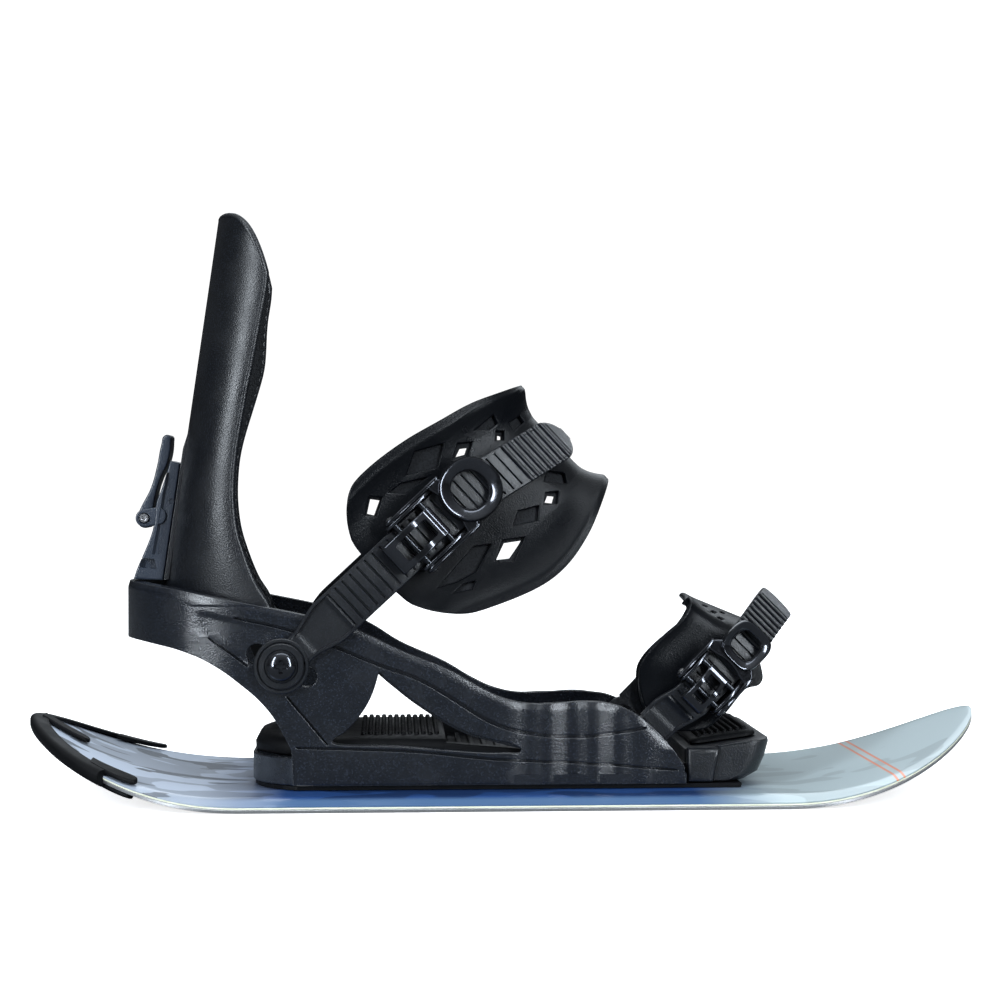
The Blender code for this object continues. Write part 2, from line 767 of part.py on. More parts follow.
def make_chassis():
    low = base_bottom()
    nylon = black_nylon()
    reach = BASE_HALF_WIDTH + 0.01
    rails = prism("chassis", [rail_outline()], -reach, reach, nylon, upright=True)
    plan = prism("rail_plan", [wall_outline(0.0, 0.1)], 0.0, 0.15, is_cutter=True)
    inside = prism("rail_inside", [wall_outline(RAIL_THICKNESS, 0.12)], -0.01, 0.16, is_cutter=True)
    window = prism("rail_window", [window_outline()], -reach, reach, upright=True, is_cutter=True)
    slot_x, slot_z = 0.0109, 0.0049
    slot_line = capsule(
        STRAP_BOLT_X - slot_x,
        STRAP_BOLT_Z + slot_z,
        STRAP_BOLT_X + slot_x,
        STRAP_BOLT_Z - slot_z,
        0.0047,
    )
    slot = prism("strap_slot", [slot_line], -reach, reach, upright=True, is_cutter=True)
    toe_reach = BASE_HALF_WIDTH - 0.002
    toe_way = prism(
        "toe_bolt_way",
        [circle(TOE_BOLT_X, TOE_BOLT_Z, BOLT_RADIUS + PIN_GAP, 16)],
        -toe_reach,
        toe_reach,
        upright=True,
        is_cutter=True,
    )
    keep_common(rails, plan)
    cut(rails, inside)
    cut(rails, window)
    cut(rails, far_rail_cutter())
    sink = 0.0002
    slab_half = BASE_HALF_WIDTH + sink
    slab = prism("base_slab", [heel_outline(-sink, BASE_FRONT, slab_half)], low, 0.030, is_cutter=True)
    slope = [
        (-0.2, SLAB_HEEL_TOP),
        (-0.0990, SLAB_HEEL_TOP),
        (-0.0965, 0.0262),
        (-0.0500, 0.0238),
        (-0.0050, 0.0204),
        (BASE_FRONT + 0.01, SLAB_FRONT_TOP),
        (BASE_FRONT + 0.01, 0.06),
        (-0.2, 0.06),
    ]
    slope_cut = prism("slab_slope", [slope], -0.1, 0.1, upright=True, is_cutter=True)
    pocket = prism(
        "slab_pocket",
        [heel_outline(RAIL_THICKNESS - sink, BASE_FRONT + 0.01, 1.0)],
        floor_top(),
        0.08,
        is_cutter=True,
    )
    disc_hole = prism("disc_hole", [circle(0.0, 0.0, DISC_RADIUS + GAP, 40)], -0.01, 0.08, is_cutter=True)
    seat_half = BASE_HALF_WIDTH - RAIL_THICKNESS - 0.0001
    heel_seat = rectangle(-0.2, -seat_half, BASE_HEEL + HEEL_CORNER_RADIUS, seat_half)
    cut(slab, prism("heel_seat", [heel_seat], SLAB_HEEL_TOP, 0.06, is_cutter=True))
    cut(slab, slope_cut)
    cut(slab, pocket)
    cut(slab, disc_hole)
    join(rails, slab)
    cut(rails, slot)
    cut(rails, toe_way)
    for name, y in (("near", -RAMP_SCREW_Y), ("far", RAMP_SCREW_Y)):
        hole = circle(RAMP_SCREW_X, y, RAMP_SCREW_RADIUS + GAP, 12)
        cut(rails, prism(f"ramp_screw_hole_{name}", [hole], -0.01, 0.05, is_cutter=True))
    return rails


def make_disc():
    low = base_bottom()
    disc_nylon = finish_material("disc_nylon", (0.03, 0.032, 0.036), 0.4)
    top = floor_top() + GAP + DISC_FLANGE_THICKNESS
    profile = [
        (0.0, top),
        (DISC_RADIUS + DISC_FLANGE, top),
        (DISC_RADIUS + DISC_FLANGE, floor_top() + GAP),
        (DISC_RADIUS, floor_top() + GAP),
        (DISC_RADIUS, low),
        (0.0, low),
    ]
    disc = turned("mounting_disc", profile, 40, Matrix.Identity(4), disc_nylon)
    round_shading(disc)
    head_low = top - SCREW_HEAD_HEIGHT
    foot = EDGE_HEIGHT + LAYER_GAP + 0.0009
    for number, (x, y) in enumerate(screw_places(), 1):
        sink = turned(
            f"disc_sink_{number}",
            [
                (0.0, top + 0.002),
                (SCREW_HEAD_RADIUS + GAP, top + 0.002),
                (SCREW_HEAD_RADIUS + GAP, head_low - GAP),
                (SCREW_RADIUS + GAP, head_low - GAP),
                (SCREW_RADIUS + GAP, low - 0.002),
                (0.0, low - 0.002),
            ],
            16,
            Matrix.Translation((x, y, 0)),
            is_cutter=True,
        )
        cut(disc, sink)
        screw = turned(
            f"disc_screw_{number}",
            [
                (0.0, top - 0.0002),
                (SCREW_HEAD_RADIUS, top - 0.0002),
                (SCREW_HEAD_RADIUS, head_low),
                (SCREW_RADIUS, head_low),
                (SCREW_RADIUS, foot + INSERT_HEIGHT + GAP),
                (INSERT_BORE - 0.0003, foot + INSERT_HEIGHT + GAP),
                (INSERT_BORE - 0.0003, foot),
                (0.0, foot),
            ],
            16,
            Matrix.Translation((x, y, 0)),
            bright_steel(),
        )
        round_shading(screw)


def make_footbeds():
    rubber = black_rubber()
    inner = BASE_HALF_WIDTH - RAIL_THICKNESS - FOOTBED_SIDE_GAP
    low = floor_top() + GAP
    pad_low = SLAB_HEEL_TOP + GAP
    heel = prism("heel_footbed", [heel_outline(0.0008, HEEL_PAD_FRONT, inner)], pad_low, HEEL_PAD_TOP, rubber)
    pad_slope = [
        (BASE_HEEL - 0.01, HEEL_PAD_TOP - 0.0120),
        (BASE_HEEL, HEEL_PAD_TOP - 0.0050),
        (BASE_HEEL + 0.0022, HEEL_PAD_TOP - 0.0028),
        (BASE_HEEL + 0.0057, HEEL_PAD_TOP - 0.0012),
        (BASE_HEEL + 0.0112, HEEL_PAD_TOP - 0.0004),
        (HEEL_PAD_FRONT + 0.01, HEEL_PAD_TOP - 0.0006),
        (HEEL_PAD_FRONT + 0.01, 0.06),
        (BASE_HEEL - 0.01, 0.06),
    ]
    cut(heel, prism("heel_pad_slope", [pad_slope], -0.1, 0.1, upright=True, is_cutter=True))
    for name, side in (("near", -1), ("far", 1)):
        edges = sorted((side * HEEL_PAD_SIDE_WIDTH, side * (BASE_HALF_WIDTH + 0.01)))
        ledge = rectangle(-0.078, edges[0], HEEL_PAD_FRONT + 0.01, edges[1])
        cut(heel, prism(f"heel_ledge_{name}", [ledge], HEEL_PAD_SIDE_TOP, 0.06, is_cutter=True))
    soften(heel, HEEL_PAD_ROUNDING, 2, 50)
    step = 0.0002
    plug_inset = RAIL_THICKNESS + FOOTBED_SIDE_GAP + step
    plug_outline = heel_outline(plug_inset, HEEL_PAD_FRONT - step, inner - step)
    plug = prism("heel_plug", [plug_outline], low, pad_low + 0.002, is_cutter=True)
    clear = turned(
        "heel_plug_clear",
        [
            (0.0, 0.022),
            (DISC_RADIUS + DISC_FLANGE + GAP, 0.022),
            (DISC_RADIUS + DISC_FLANGE + GAP, 0.0),
            (0.0, 0.0),
        ],
        40,
        Matrix.Identity(4),
        is_cutter=True,
    )
    cut(plug, clear)
    join(heel, plug)
    front_low = floor_top() + GAP + DISC_FLANGE_THICKNESS + GAP
    front = prism(
        "front_footbed",
        [rectangle(HEEL_PAD_FRONT + FOOTBED_SIDE_GAP, -inner, FRONT_PAD_FRONT, inner)],
        front_low,
        front_low + FRONT_PAD_THICKNESS,
        rubber,
    )
    soften(front, 0.0012, 1, 50)


def ramp_top(x):
    share = (x - BASE_FRONT) / (RAMP_FRONT - BASE_FRONT)
    return RAMP_BACK_TOP + (RAMP_EDGE_TOP - RAMP_BACK_TOP) * share


def make_toe_ramp():
    nylon = black_nylon()
    low = base_bottom()
    back = BASE_FRONT + 0.0006
    outline = [
        (back, low),
        (RAMP_FRONT - 0.012, low),
        (RAMP_FRONT - 0.0045, low + 0.0035),
        (RAMP_FRONT, RAMP_EDGE_TOP - 0.002),
        (RAMP_FRONT - 0.0006, RAMP_EDGE_TOP),
        (back, ramp_top(back)),
    ]
    half = RAMP_HALF_WIDTH
    ramp = prism("toe_ramp", [outline], -half, half, nylon, upright=True)
    corner = 0.012
    plan = [
        (back - 0.01, -half),
        (RAMP_FRONT - corner, -half, 1),
        (RAMP_FRONT - corner * 0.3, -half + corner * 0.3, 1),
        (RAMP_FRONT + 0.0002, -half + corner, 1),
        (RAMP_FRONT + 0.0002, half - corner, 1),
        (RAMP_FRONT - corner * 0.3, half - corner * 0.3, 1),
        (RAMP_FRONT - corner, half, 1),
        (back - 0.01, half),
    ]
    keep_common(ramp, prism("ramp_plan", [plan], 0.0, 0.05, is_cutter=True))
    hollow = prism(
        "ramp_hollow",
        [rectangle(back + 0.008, -half + 0.008, RAMP_FRONT - 0.014, half - 0.008)],
        0.0,
        low + 0.006,
        is_cutter=True,
    )
    cut(ramp, hollow)
    inner = BASE_HALF_WIDTH - RAIL_THICKNESS - FOOTBED_SIDE_GAP
    tongue_low = floor_top() + GAP
    tongue_high = tongue_low + 0.003
    tongue = prism(
        "ramp_tongue",
        [rectangle(RAMP_TONGUE_BACK, -inner + 0.003, back + 0.004, inner - 0.003)],
        tongue_low,
        tongue_high,
        is_cutter=True,
    )
    join(ramp, tongue)
    for name, y in (("near", -RAMP_SCREW_Y), ("far", RAMP_SCREW_Y)):
        slot = capsule(RAMP_SCREW_X - RAMP_TRAVEL, y, RAMP_SCREW_X, y, RAMP_SCREW_RADIUS + GAP, 6)
        cut(ramp, prism(f"ramp_slot_{name}", [slot], 0.0, tongue_high + 0.01, is_cutter=True))
        screw = turned(
            f"toe_ramp_screw_{name}",
            [
                (0.0, tongue_high + 0.0026),
                (0.0042, tongue_high + 0.0026),
                (0.0042, tongue_high + GAP),
                (RAMP_SCREW_RADIUS, tongue_high + GAP),
                (RAMP_SCREW_RADIUS, low + 0.0010),
                (0.0, low + 0.0010),
            ],
            16,
            Matrix.Translation((RAMP_SCREW_X, y, 0)),
            bright_steel(),
        )
        round_shading(screw)


def make_ramp_pad():
    half = RAMP_PAD_HALF_WIDTH
    back, front = BASE_FRONT + 0.004, RAMP_FRONT - 0.005
    outline = [
        (back, ramp_top(back) + GAP),
        (front, ramp_top(front) + GAP),
        (front - 0.001, ramp_top(front) + RAMP_PAD_THICKNESS * 0.6, 1),
        (front - 0.007, ramp_top(front) + RAMP_PAD_THICKNESS, 1),
        (back + 0.012, ramp_top(back) + RAMP_PAD_THICKNESS * 1.15, 1),
        (back + 0.003, ramp_top(back) + RAMP_PAD_THICKNESS * 0.8, 1),
    ]
    pad = prism("toe_ramp_pad", [outline], -half, half, black_rubber(), upright=True)
    soften(pad, 0.0015, 1, 50)


# Highback


def spine_x(z):
    return HIGHBACK_SPINE_FOOT_X + HIGHBACK_SPINE_SLOPE * (z - HIGHBACK_SPINE_FOOT_Z)


def wing_x(z):
    """Front edge of the highback's side, read from the few heights that give its curve."""
    heights = (0.070, 0.087, 0.096, 0.109, 0.122, 0.138, 0.157, 0.181, 0.195, 0.214, 0.230, 0.240, 0.270)
    fronts = (-0.1050, -0.1090, -0.1145, -0.1198, -0.1235, -0.1249, -0.1235, -0.1195, -0.1168, -0.1133)
    fronts += (-0.1104, -0.1098, -0.1098)
    for low, high, first, second in zip(heights, heights[1:], fronts, fronts[1:]):
        if z <= high:
            return first + (second - first) * (z - low) / (high - low)
    return fronts[-1]


def wing_half_width(z):
    share = min(1.0, max(0.0, (z - 0.10) / (HIGHBACK_TOP - 0.10)))
    return HIGHBACK_HALF_WIDTH_LOW + (HIGHBACK_HALF_WIDTH_TOP - HIGHBACK_HALF_WIDTH_LOW) * share


def highback_point(across, up, inset, reach, bottom, top, corner):
    """Point of the highback. Across runs from -1 on the near side to +1 on the far side."""
    angle = across * math.pi / 2
    high = top - corner * abs(across) ** 4
    z = bottom + (high - bottom) * up
    back = spine_x(z) + inset
    set_back = FAR_WING_SET_BACK * max(0.0, across) * (1 - blend(0.0, 1.0, (z - 0.150) / 0.050))
    front = wing_x(z) + reach - set_back
    half = wing_half_width(z) - inset
    return (front - (front - back) * math.cos(angle), half * math.sin(angle), z)


def highback_sheet(name, material, inset, reach, bottom, top, corner, thickness, columns, rows):
    bm = bmesh.new()
    bmesh.ops.create_grid(bm, x_segments=columns, y_segments=rows, size=1.0)
    for vert in bm.verts:
        vert.co = highback_point(vert.co.x, (vert.co.y + 1) / 2, inset, reach, bottom, top, corner)
    obj = add_mesh(name, mesh_from_open(name, bm), material)
    wall = obj.modifiers.new("wall", "SOLIDIFY")
    wall.thickness = thickness
    wall.offset = 1.0
    wall.use_even_offset = False
    return obj


def mesh_from_open(name, bm):
    """Mesh of an open sheet whose faces keep the side they have."""
    mesh = bpy.data.meshes.new(name)
    bm.to_mesh(mesh)
    bm.free()
    return mesh


def make_highback():
    nylon = black_nylon()
    shell = highback_sheet(
        "highback_shell",
        nylon,
        0.0,
        0.0,
        HIGHBACK_BOTTOM,
        HIGHBACK_TOP,
        HIGHBACK_CORNER_DROP,
        SHELL_THICKNESS,
        14,
        14,
    )
    ear_outer = BASE_HALF_WIDTH - RAIL_THICKNESS - GAP
    ear_inner = ear_outer - EAR_THICKNESS
    for name, low, high in (("near", -ear_outer, -ear_inner), ("far", ear_inner, ear_outer)):
        ear = prism(
            f"highback_ear_{name}",
            [ear_outline()],
            low,
            high,
            upright=True,
            is_cutter=True,
        )
        join(shell, ear)
    hole = circle(STRAP_BOLT_X, STRAP_BOLT_Z, BOLT_RADIUS + PIN_GAP, 20)
    cut(shell, prism("ear_holes", [hole], -0.1, 0.1, upright=True, is_cutter=True))
    make_lean_seat(shell)
    highback_sheet(
        "highback_liner",
        black_rubber(),
        SHELL_THICKNESS + GAP,
        LINER_REACH,
        HIGHBACK_BOTTOM + 0.012,
        HIGHBACK_TOP - 0.004,
        HIGHBACK_CORNER_DROP,
        LINER_THICKNESS,
        12,
        14,
    )
    return shell


def ear_outline():
    """Side view of the ear that carries the highback on the strap bolt."""
    points = []
    for i in range(13):
        angle = math.radians(-150 + 195 * i / 12)
        x = STRAP_BOLT_X + EAR_RADIUS * math.cos(angle)
        points.append((x, STRAP_BOLT_Z + EAR_RADIUS * math.sin(angle)))
    points += [(-0.1085, 0.0900), (-0.1150, 0.1000), (-0.1235, 0.1000), (-0.1205, 0.0880), (-0.1165, 0.0700)]
    return points


def spine_frame(z):
    """Placement with +Z up the spine and +X into the shell, at the spine's height z."""
    angle = math.atan(HIGHBACK_SPINE_SLOPE)
    return Matrix.Translation((spine_x(z), 0, z)) @ Matrix.Rotation(angle, 4, "Y")


def make_lean_seat(shell):
    """Flat raised seat on the back of the shell, where the lean block slides."""
    low_z, high_z = HIGHBACK_SPINE_FOOT_Z + 0.001, LEAN_SEAT_TOP
    depth = SHELL_THICKNESS * 0.7
    outline = [
        (spine_x(low_z), low_z),
        (spine_x(low_z) + depth, low_z),
        (spine_x(high_z) + depth, high_z),
        (spine_x(high_z), high_z),
    ]
    half = LEAN_HALF_WIDTH + 0.001
    seat = prism("lean_seat", [outline], -half, half, upright=True, is_cutter=True)
    join(shell, seat)


def make_lean_adjuster():
    block_material = finish_material("grey_blue_nylon", (0.045, 0.055, 0.070), 0.45)
    low_z = 0.0978
    gap = 0.0004
    outline = [
        (spine_x(low_z) - gap, low_z),
        (spine_x(0.1512) - gap, 0.1512),
        (spine_x(0.1520) - 0.0050, 0.1525),
        (-0.1585, 0.1395),
        (-0.1608, 0.1330),
        (-0.1618, 0.1240),
        (-0.1635, 0.1176),
        (-0.1667, 0.1097),
        (-0.1699, 0.1023),
        (-0.1712, low_z + 0.0004),
    ]
    block = prism("lean_block", [outline], -LEAN_HALF_WIDTH, LEAN_HALF_WIDTH, block_material, upright=True)
    ear = capsule(LEAN_PIN_X, LEAN_PIN_Z, LEAN_PIN_X + 0.006, LEAN_PIN_Z + 0.001, 0.0040, 8)
    join(block, prism("lean_ears", [ear], -LEAN_HALF_WIDTH, LEAN_HALF_WIDTH, upright=True, is_cutter=True))
    half = LEVER_HALF_WIDTH + 0.0004
    way = [
        (-0.1800, 0.1180),
        (-0.1620, 0.1180),
        (-0.1612, 0.1300),
        (-0.1570, 0.1400),
        (-0.1545, 0.1600),
        (-0.1800, 0.1600),
    ]
    cut(block, prism("lever_way", [way], -half, half, upright=True, is_cutter=True))
    pin_hole = circle(LEAN_PIN_X, LEAN_PIN_Z, LEAN_PIN_RADIUS + PIN_GAP, 16)
    cut(block, prism("lean_pin_way", [pin_hole], -0.1, 0.1, upright=True, is_cutter=True))
    lever_outline = [
        (-0.1578, 0.1640, 1),
        (-0.1552, 0.1640, 1),
        (-0.1548, 0.1610, 1),
        (-0.1562, 0.1520, 1),
        (-0.1597, 0.1440, 1),
        (-0.1618, 0.1370, 1),
        (-0.1631, 0.1290, 1),
        (-0.1632, 0.1250, 1),
        (-0.1645, 0.1222, 1),
        (-0.1670, 0.1215, 1),
        (-0.1695, 0.1230, 1),
        (-0.1704, 0.1260, 1),
        (-0.1690, 0.1300, 1),
        (-0.1640, 0.1400, 1),
        (-0.1612, 0.1500, 1),
        (-0.1592, 0.1600, 1),
    ]
    lever = prism(
        "lean_lever",
        [lever_outline, pin_hole],
        -LEVER_HALF_WIDTH,
        LEVER_HALF_WIDTH,
        block_material,
        upright=True,
        curve_steps=2,
    )
    half_pin = LEAN_HALF_WIDTH + 0.0008
    pin = turned(
        "lean_pin",
        [(0.0, half_pin), (LEAN_PIN_RADIUS, half_pin), (LEAN_PIN_RADIUS, -half_pin), (0.0, -half_pin)],
        16,
        Matrix.Translation((LEAN_PIN_X, 0, LEAN_PIN_Z)) @ Matrix.Rotation(math.pi / 2, 4, "X"),
        bright_steel(),
    )
    round_shading(pin)


# Straps


def corners_cut(points):
    """One round of corner cutting on a chain of points; its ends stay."""
    smoother = [points[0]]
    for before, after in zip(points, points[1:]):
        smoother += [before.lerp(after, 0.25), before.lerp(after, 0.75)]
    return smoother + [points[-1]]


class Strap:
    """Arch of a strap over the foot, in the tilted plane through its two bolts.

    The path is a smooth curve. Its turns are (distance in from the half span, height) points of the near
    half, mirrored to the far side.
    """

    def __init__(self, bolt_x, bolt_z, tilt, half_span, turns):
        self.origin = Vector((bolt_x, 0.0, bolt_z))
        self.up = Vector((math.cos(tilt), 0.0, math.sin(tilt)))
        self.across = Vector((math.sin(tilt), 0.0, -math.cos(tilt)))
        self.half_span = half_span
        points = [Vector((inwards - half_span, height)) for inwards, height in turns]
        points += [Vector((-point.x, point.y)) for point in reversed(points[:-1])]
        for _ in range(5):
            points = corners_cut(points)
        self.path = points
        self.lengths = [0.0]
        for before, after in zip(self.path, self.path[1:]):
            self.lengths.append(self.lengths[-1] + (after - before).length)
        self.total = self.lengths[-1]

    def length_at(self, height):
        """Distance along the near side of the strap to a height."""
        for point, length in zip(self.path, self.lengths):
            if point.y >= height:
                return length
        return self.total / 2

    def at(self, length, straight_from=None):
        """Point and unit direction of the path. Past straight_from the path goes on straight."""
        extra = 0.0
        if straight_from is not None and length > straight_from:
            extra = length - straight_from
            length = straight_from
        length = min(max(length, 0.0), self.total)
        index = max(1, bisect.bisect_left(self.lengths, length))
        before, after = self.path[index - 1], self.path[index]
        share = (length - self.lengths[index - 1]) / (after - before).length
        behind = self.path[max(0, index - 3)]
        ahead = self.path[min(len(self.path) - 1, index + 2)]
        direction = (ahead - behind).normalized()
        return before.lerp(after, share) + direction * extra, direction

    def place(self, length, out, side, straight_from=None):
        """World point at a distance along the strap, out from the foot, and across the strap."""
        (y, u), (dy, du) = self.at(length, straight_from)
        y -= du * out
        u += dy * out
        return self.origin + self.up * u + self.across * side + Vector((0.0, y, 0.0))

    def seat(self, length, out=0.0, side=0.0):
        """Placement with +X up the strap and +Z out from the foot."""
        (y, u), (dy, du) = self.at(length)
        along = self.up * du + Vector((0.0, dy, 0.0))
        outward = self.up * dy - Vector((0.0, du, 0.0))
        third = outward.cross(along)
        matrix = Matrix((along, third, outward)).transposed().to_4x4()
        matrix.translation = self.place(length, out, side)
        return matrix


def strap_section(strap, length, half, low, high, drift=0.0, straight_from=None):
    corners = ((low, -half), (low, half), (high, half), (high, -half))
    return [strap.place(length, out, side + drift, straight_from) for out, side in corners]


def blend(start, end, share):
    share = min(1.0, max(0.0, share))
    return start + (end - start) * share * share * (3 - 2 * share)


def toothed_strap(
    name, strap, eye_radius, width, waist, waist_end, end, straight_from, drift, tip_rounding, material
):
    """Ladder strap: an eye on the near bolt, a waist, then teeth up to the rounded free end."""
    half = width / 2
    low = -LADDER_THICKNESS / 2
    root = LADDER_THICKNESS / 2
    crest = root + TOOTH_HEIGHT
    tip_length = half * tip_rounding

    def half_at(length):
        if length > end - tip_length:
            reach = (length - end + tip_length) / tip_length
            return half * math.sqrt(1 - reach**4 * tip_rounding)
        return blend(waist, half, (length - eye_radius) / (waist_end - eye_radius))

    def add(length, high):
        sections.append(
            strap_section(strap, length, half_at(length), low, high, drift(length), straight_from)
        )

    sections = []
    for share in (0.55, 0.95, 1.3):
        add(eye_radius * share, root)
    length = waist_end
    while length + TOOTH_PITCH < end - tip_length:
        add(length, root)
        add(length + TOOTH_PITCH * 0.22, crest)
        add(length + TOOTH_PITCH * 0.66, crest)
        add(length + TOOTH_PITCH * 0.80, root)
        length += TOOTH_PITCH
    for share in (0.0, 0.45, 0.8, 1.0):
        add(end - tip_length * (1 - share), root)
    obj = loft(name, sections, material)
    add_eye(obj, strap, -1, eye_radius)
    return round_shading(obj, 30)


def add_eye(obj, strap, side, radius):
    """Round end of a strap and its bolt hole. Side is -1 near, +1 far."""
    middle = side * strap.half_span
    half = LADDER_THICKNESS / 2 + EYE_RIM
    x, z = strap.origin.x, strap.origin.z
    rim = [circle(x, z, radius, 36)]
    join(obj, prism(f"{obj.name}_eye", rim, middle - half, middle + half, upright=True, is_cutter=True))
    hole = circle(x, z, BOLT_RADIUS + PIN_GAP, 18)
    cut(obj, prism(f"{obj.name}_hole", [hole], middle - 0.01, middle + 0.01, upright=True, is_cutter=True))


def connector_strap(name, strap, radius, width, waist, clear, reach, material):
    """Far side strap from its bolt, past the rail at the length clear, up onto the pad."""
    half = width / 2
    sunk = PAD_OFFSET - PAD_THICKNESS / 2 - GAP - LADDER_THICKNESS / 2
    sections = []
    count = 12
    start = radius * 0.55
    for i in range(count + 1):
        length = start + (reach - start) * i / count
        wide = blend(waist, half, (length - radius) / (radius * 1.5))
        if i == count:
            wide *= 0.7
        out = -blend(0.0, sunk, (length - clear) / (reach - clear) / 0.6)
        low = out - LADDER_THICKNESS / 2
        sections.append(strap_section(strap, strap.total - length, wide, low, low + LADDER_THICKNESS))
    obj = loft(name, sections, material)
    add_eye(obj, strap, 1, radius)
    return round_shading(obj, 30)


def saddle_pad(name, strap, end, columns, rows, middle, half_width, lift, holes, material):
    """Moulded pad. Rules of the height up the strap give its middle and half width."""
    bm = bmesh.new()
    bmesh.ops.create_grid(bm, x_segments=columns, y_segments=rows, size=1.0)
    start, finish = strap.length_at(end), strap.total - strap.length_at(end)
    for vert in bm.verts:
        along, across = vert.co.x, vert.co.y
        length = start + (finish - start) * (along + 1) / 2
        height = strap.at(length)[0].y
        end_share = max(0.0, (abs(along) - PAD_END_FROM) / (1 - PAD_END_FROM))
        rounding = math.sqrt(1 - PAD_END_ROUNDING * end_share * end_share)
        side = middle(height, along) + across * half_width(height) * rounding
        vert.co = strap.place(length, lift(height, side, across) - PAD_OFFSET, side)
    bm.faces.ensure_lookup_table()
    gone = [bm.faces[row * columns + column] for column, row in holes]
    bmesh.ops.delete(bm, geom=gone, context="FACES")
    obj = add_mesh(name, mesh_from_open(name, bm), material)
    wall = obj.modifiers.new("wall", "SOLIDIFY")
    wall.thickness = PAD_THICKNESS
    wall.offset = 0.0
    wall.use_even_offset = False
    return round_shading(obj, 40)


def ankle_strap():
    turns = [(0.0, 0.0), (0.0, 0.040), (-0.0003, 0.059), (0.0032, 0.081), (0.0067, 0.103)]
    turns += [(0.0102, 0.125), (0.0177, 0.149), (0.0337, ANKLE_HEIGHT), (ANKLE_HALF_SPAN, ANKLE_HEIGHT)]
    return Strap(STRAP_BOLT_X, STRAP_BOLT_Z, ANKLE_TILT, ANKLE_HALF_SPAN, turns)


def toe_strap():
    turns = [(0.0, 0.0), (0.0, 0.012), (-0.0032, 0.024), (-0.0018, 0.037), (-0.0004, 0.050)]
    turns += [(0.0010, 0.063), (0.0070, TOE_HEIGHT - 0.001), (0.0250, TOE_HEIGHT)]
    turns.append((TOE_HALF_SPAN, TOE_HEIGHT))
    return Strap(TOE_BOLT_X, TOE_BOLT_Z, TOE_TILT, TOE_HALF_SPAN, turns)


def make_ankle_strap():
    strap = ankle_strap()
    nylon = black_nylon()
    leave = strap.length_at(0.135)
    turn_from = strap.length_at(0.108)

    def drift(length):
        return max(0.0, length - turn_from) * 0.2

    toothed_strap(
        "ankle_ladder",
        strap,
        ANKLE_EYE_RADIUS,
        ANKLE_LADDER_WIDTH,
        0.0070,
        0.030,
        leave + 0.031,
        leave,
        drift,
        0.80,
        nylon,
    )
    saddle_pad(
        "ankle_pad",
        strap,
        0.059,
        20,
        8,
        lambda u, along: blend(0.0, 0.0115, (u - 0.060) / 0.070),
        lambda u: blend(0.033, 0.043, (u - 0.065) / 0.035) - blend(0.0, 0.013, (u - 0.125) / 0.033),
        lambda u, side, across: 0.0075 * max(0.0, (abs(across) - 0.5) / 0.5) ** 2,
        ANKLE_PAD_HOLES,
        nylon,
    )
    up_pad = strap.length_at(0.098)
    connector_strap(
        "ankle_connector", strap, ANKLE_EYE_RADIUS, ANKLE_LADDER_WIDTH, 0.0080, 0.046, up_pad, nylon
    )
    make_connector_screw("ankle", strap, strap.total - strap.length_at(0.088))
    make_buckle("ankle", strap.seat(strap.length_at(0.095)), ANKLE_LADDER_WIDTH, 1.0)
    make_bolts("ankle", strap)
    return strap


def toe_pad_middle(u, along):
    """The far side of the toe pad sits further forward than the near side."""
    crown = blend(0.0, 1.0, (u - 0.054) / 0.014)
    return blend(-0.00175, -0.0115, crown) + 0.0068 * max(0.0, along) * (1 - crown)


def make_toe_strap():
    strap = toe_strap()
    nylon = black_nylon()
    leave = strap.length_at(0.060)

    def drift(length):
        there = blend(0.0, TOE_BUCKLE_SHIFT, (length - 0.012) / 0.016)
        return there - blend(0.0, 0.0022, (length - leave) / 0.027)

    toothed_strap(
        "toe_ladder",
        strap,
        TOE_EYE_RADIUS,
        TOE_LADDER_WIDTH,
        0.0085,
        0.018,
        leave + 0.027,
        leave,
        drift,
        0.35,
        nylon,
    )
    saddle_pad(
        "toe_pad",
        strap,
        0.0110,
        20,
        8,
        toe_pad_middle,
        lambda u: blend(0.0160, 0.0198, (u - 0.010) / 0.012) - blend(0.0, 0.0058, (u - 0.054) / 0.014),
        lambda u, side, across: TOE_PAD_CONE * (side + 0.004) * blend(0.0, 1.0, (u - 0.057) / 0.013),
        TOE_PAD_HOLES,
        nylon,
    )
    up_pad = strap.length_at(0.040)
    connector_strap("toe_connector", strap, TOE_EYE_RADIUS, TOE_LADDER_WIDTH, 0.0085, 0.006, up_pad, nylon)
    make_connector_screw("toe", strap, strap.total - strap.length_at(0.030))
    buckle_seat = strap.seat(strap.length_at(0.0435), side=TOE_BUCKLE_SHIFT)
    make_buckle("toe", buckle_seat, TOE_LADDER_WIDTH, TOE_BUCKLE_SCALE)
    make_toe_bolts(strap)
    return strap


def make_connector_screw(prefix, strap, length):
    """Low screw that holds the connector to the pad, set in a hole through both."""
    seat = strap.seat(length)
    top = -(PAD_OFFSET - PAD_THICKNESS / 2 - GAP - LADDER_THICKNESS)
    shank = 0.0020
    low = -(PAD_OFFSET - PAD_THICKNESS / 2) - PAD_THICKNESS * 0.6
    profile = [
        (0.0, top + GAP + 0.0016),
        (0.0030, top + GAP + 0.0014),
        (0.0040, top + GAP),
        (shank, top + GAP),
        (shank, low),
        (0.0, low),
    ]
    round_shading(turned(f"{prefix}_connector_screw", profile, 16, seat, bright_steel()))
    hole = [(0.0, 0.01), (shank + GAP, 0.01), (shank + GAP, low - GAP), (0.0, low - GAP)]
    way = turned(f"{prefix}_connector_hole", hole, 16, seat, is_cutter=True)
    for name in (f"{prefix}_connector", f"{prefix}_pad"):
        cut(bpy.data.objects[name], way)


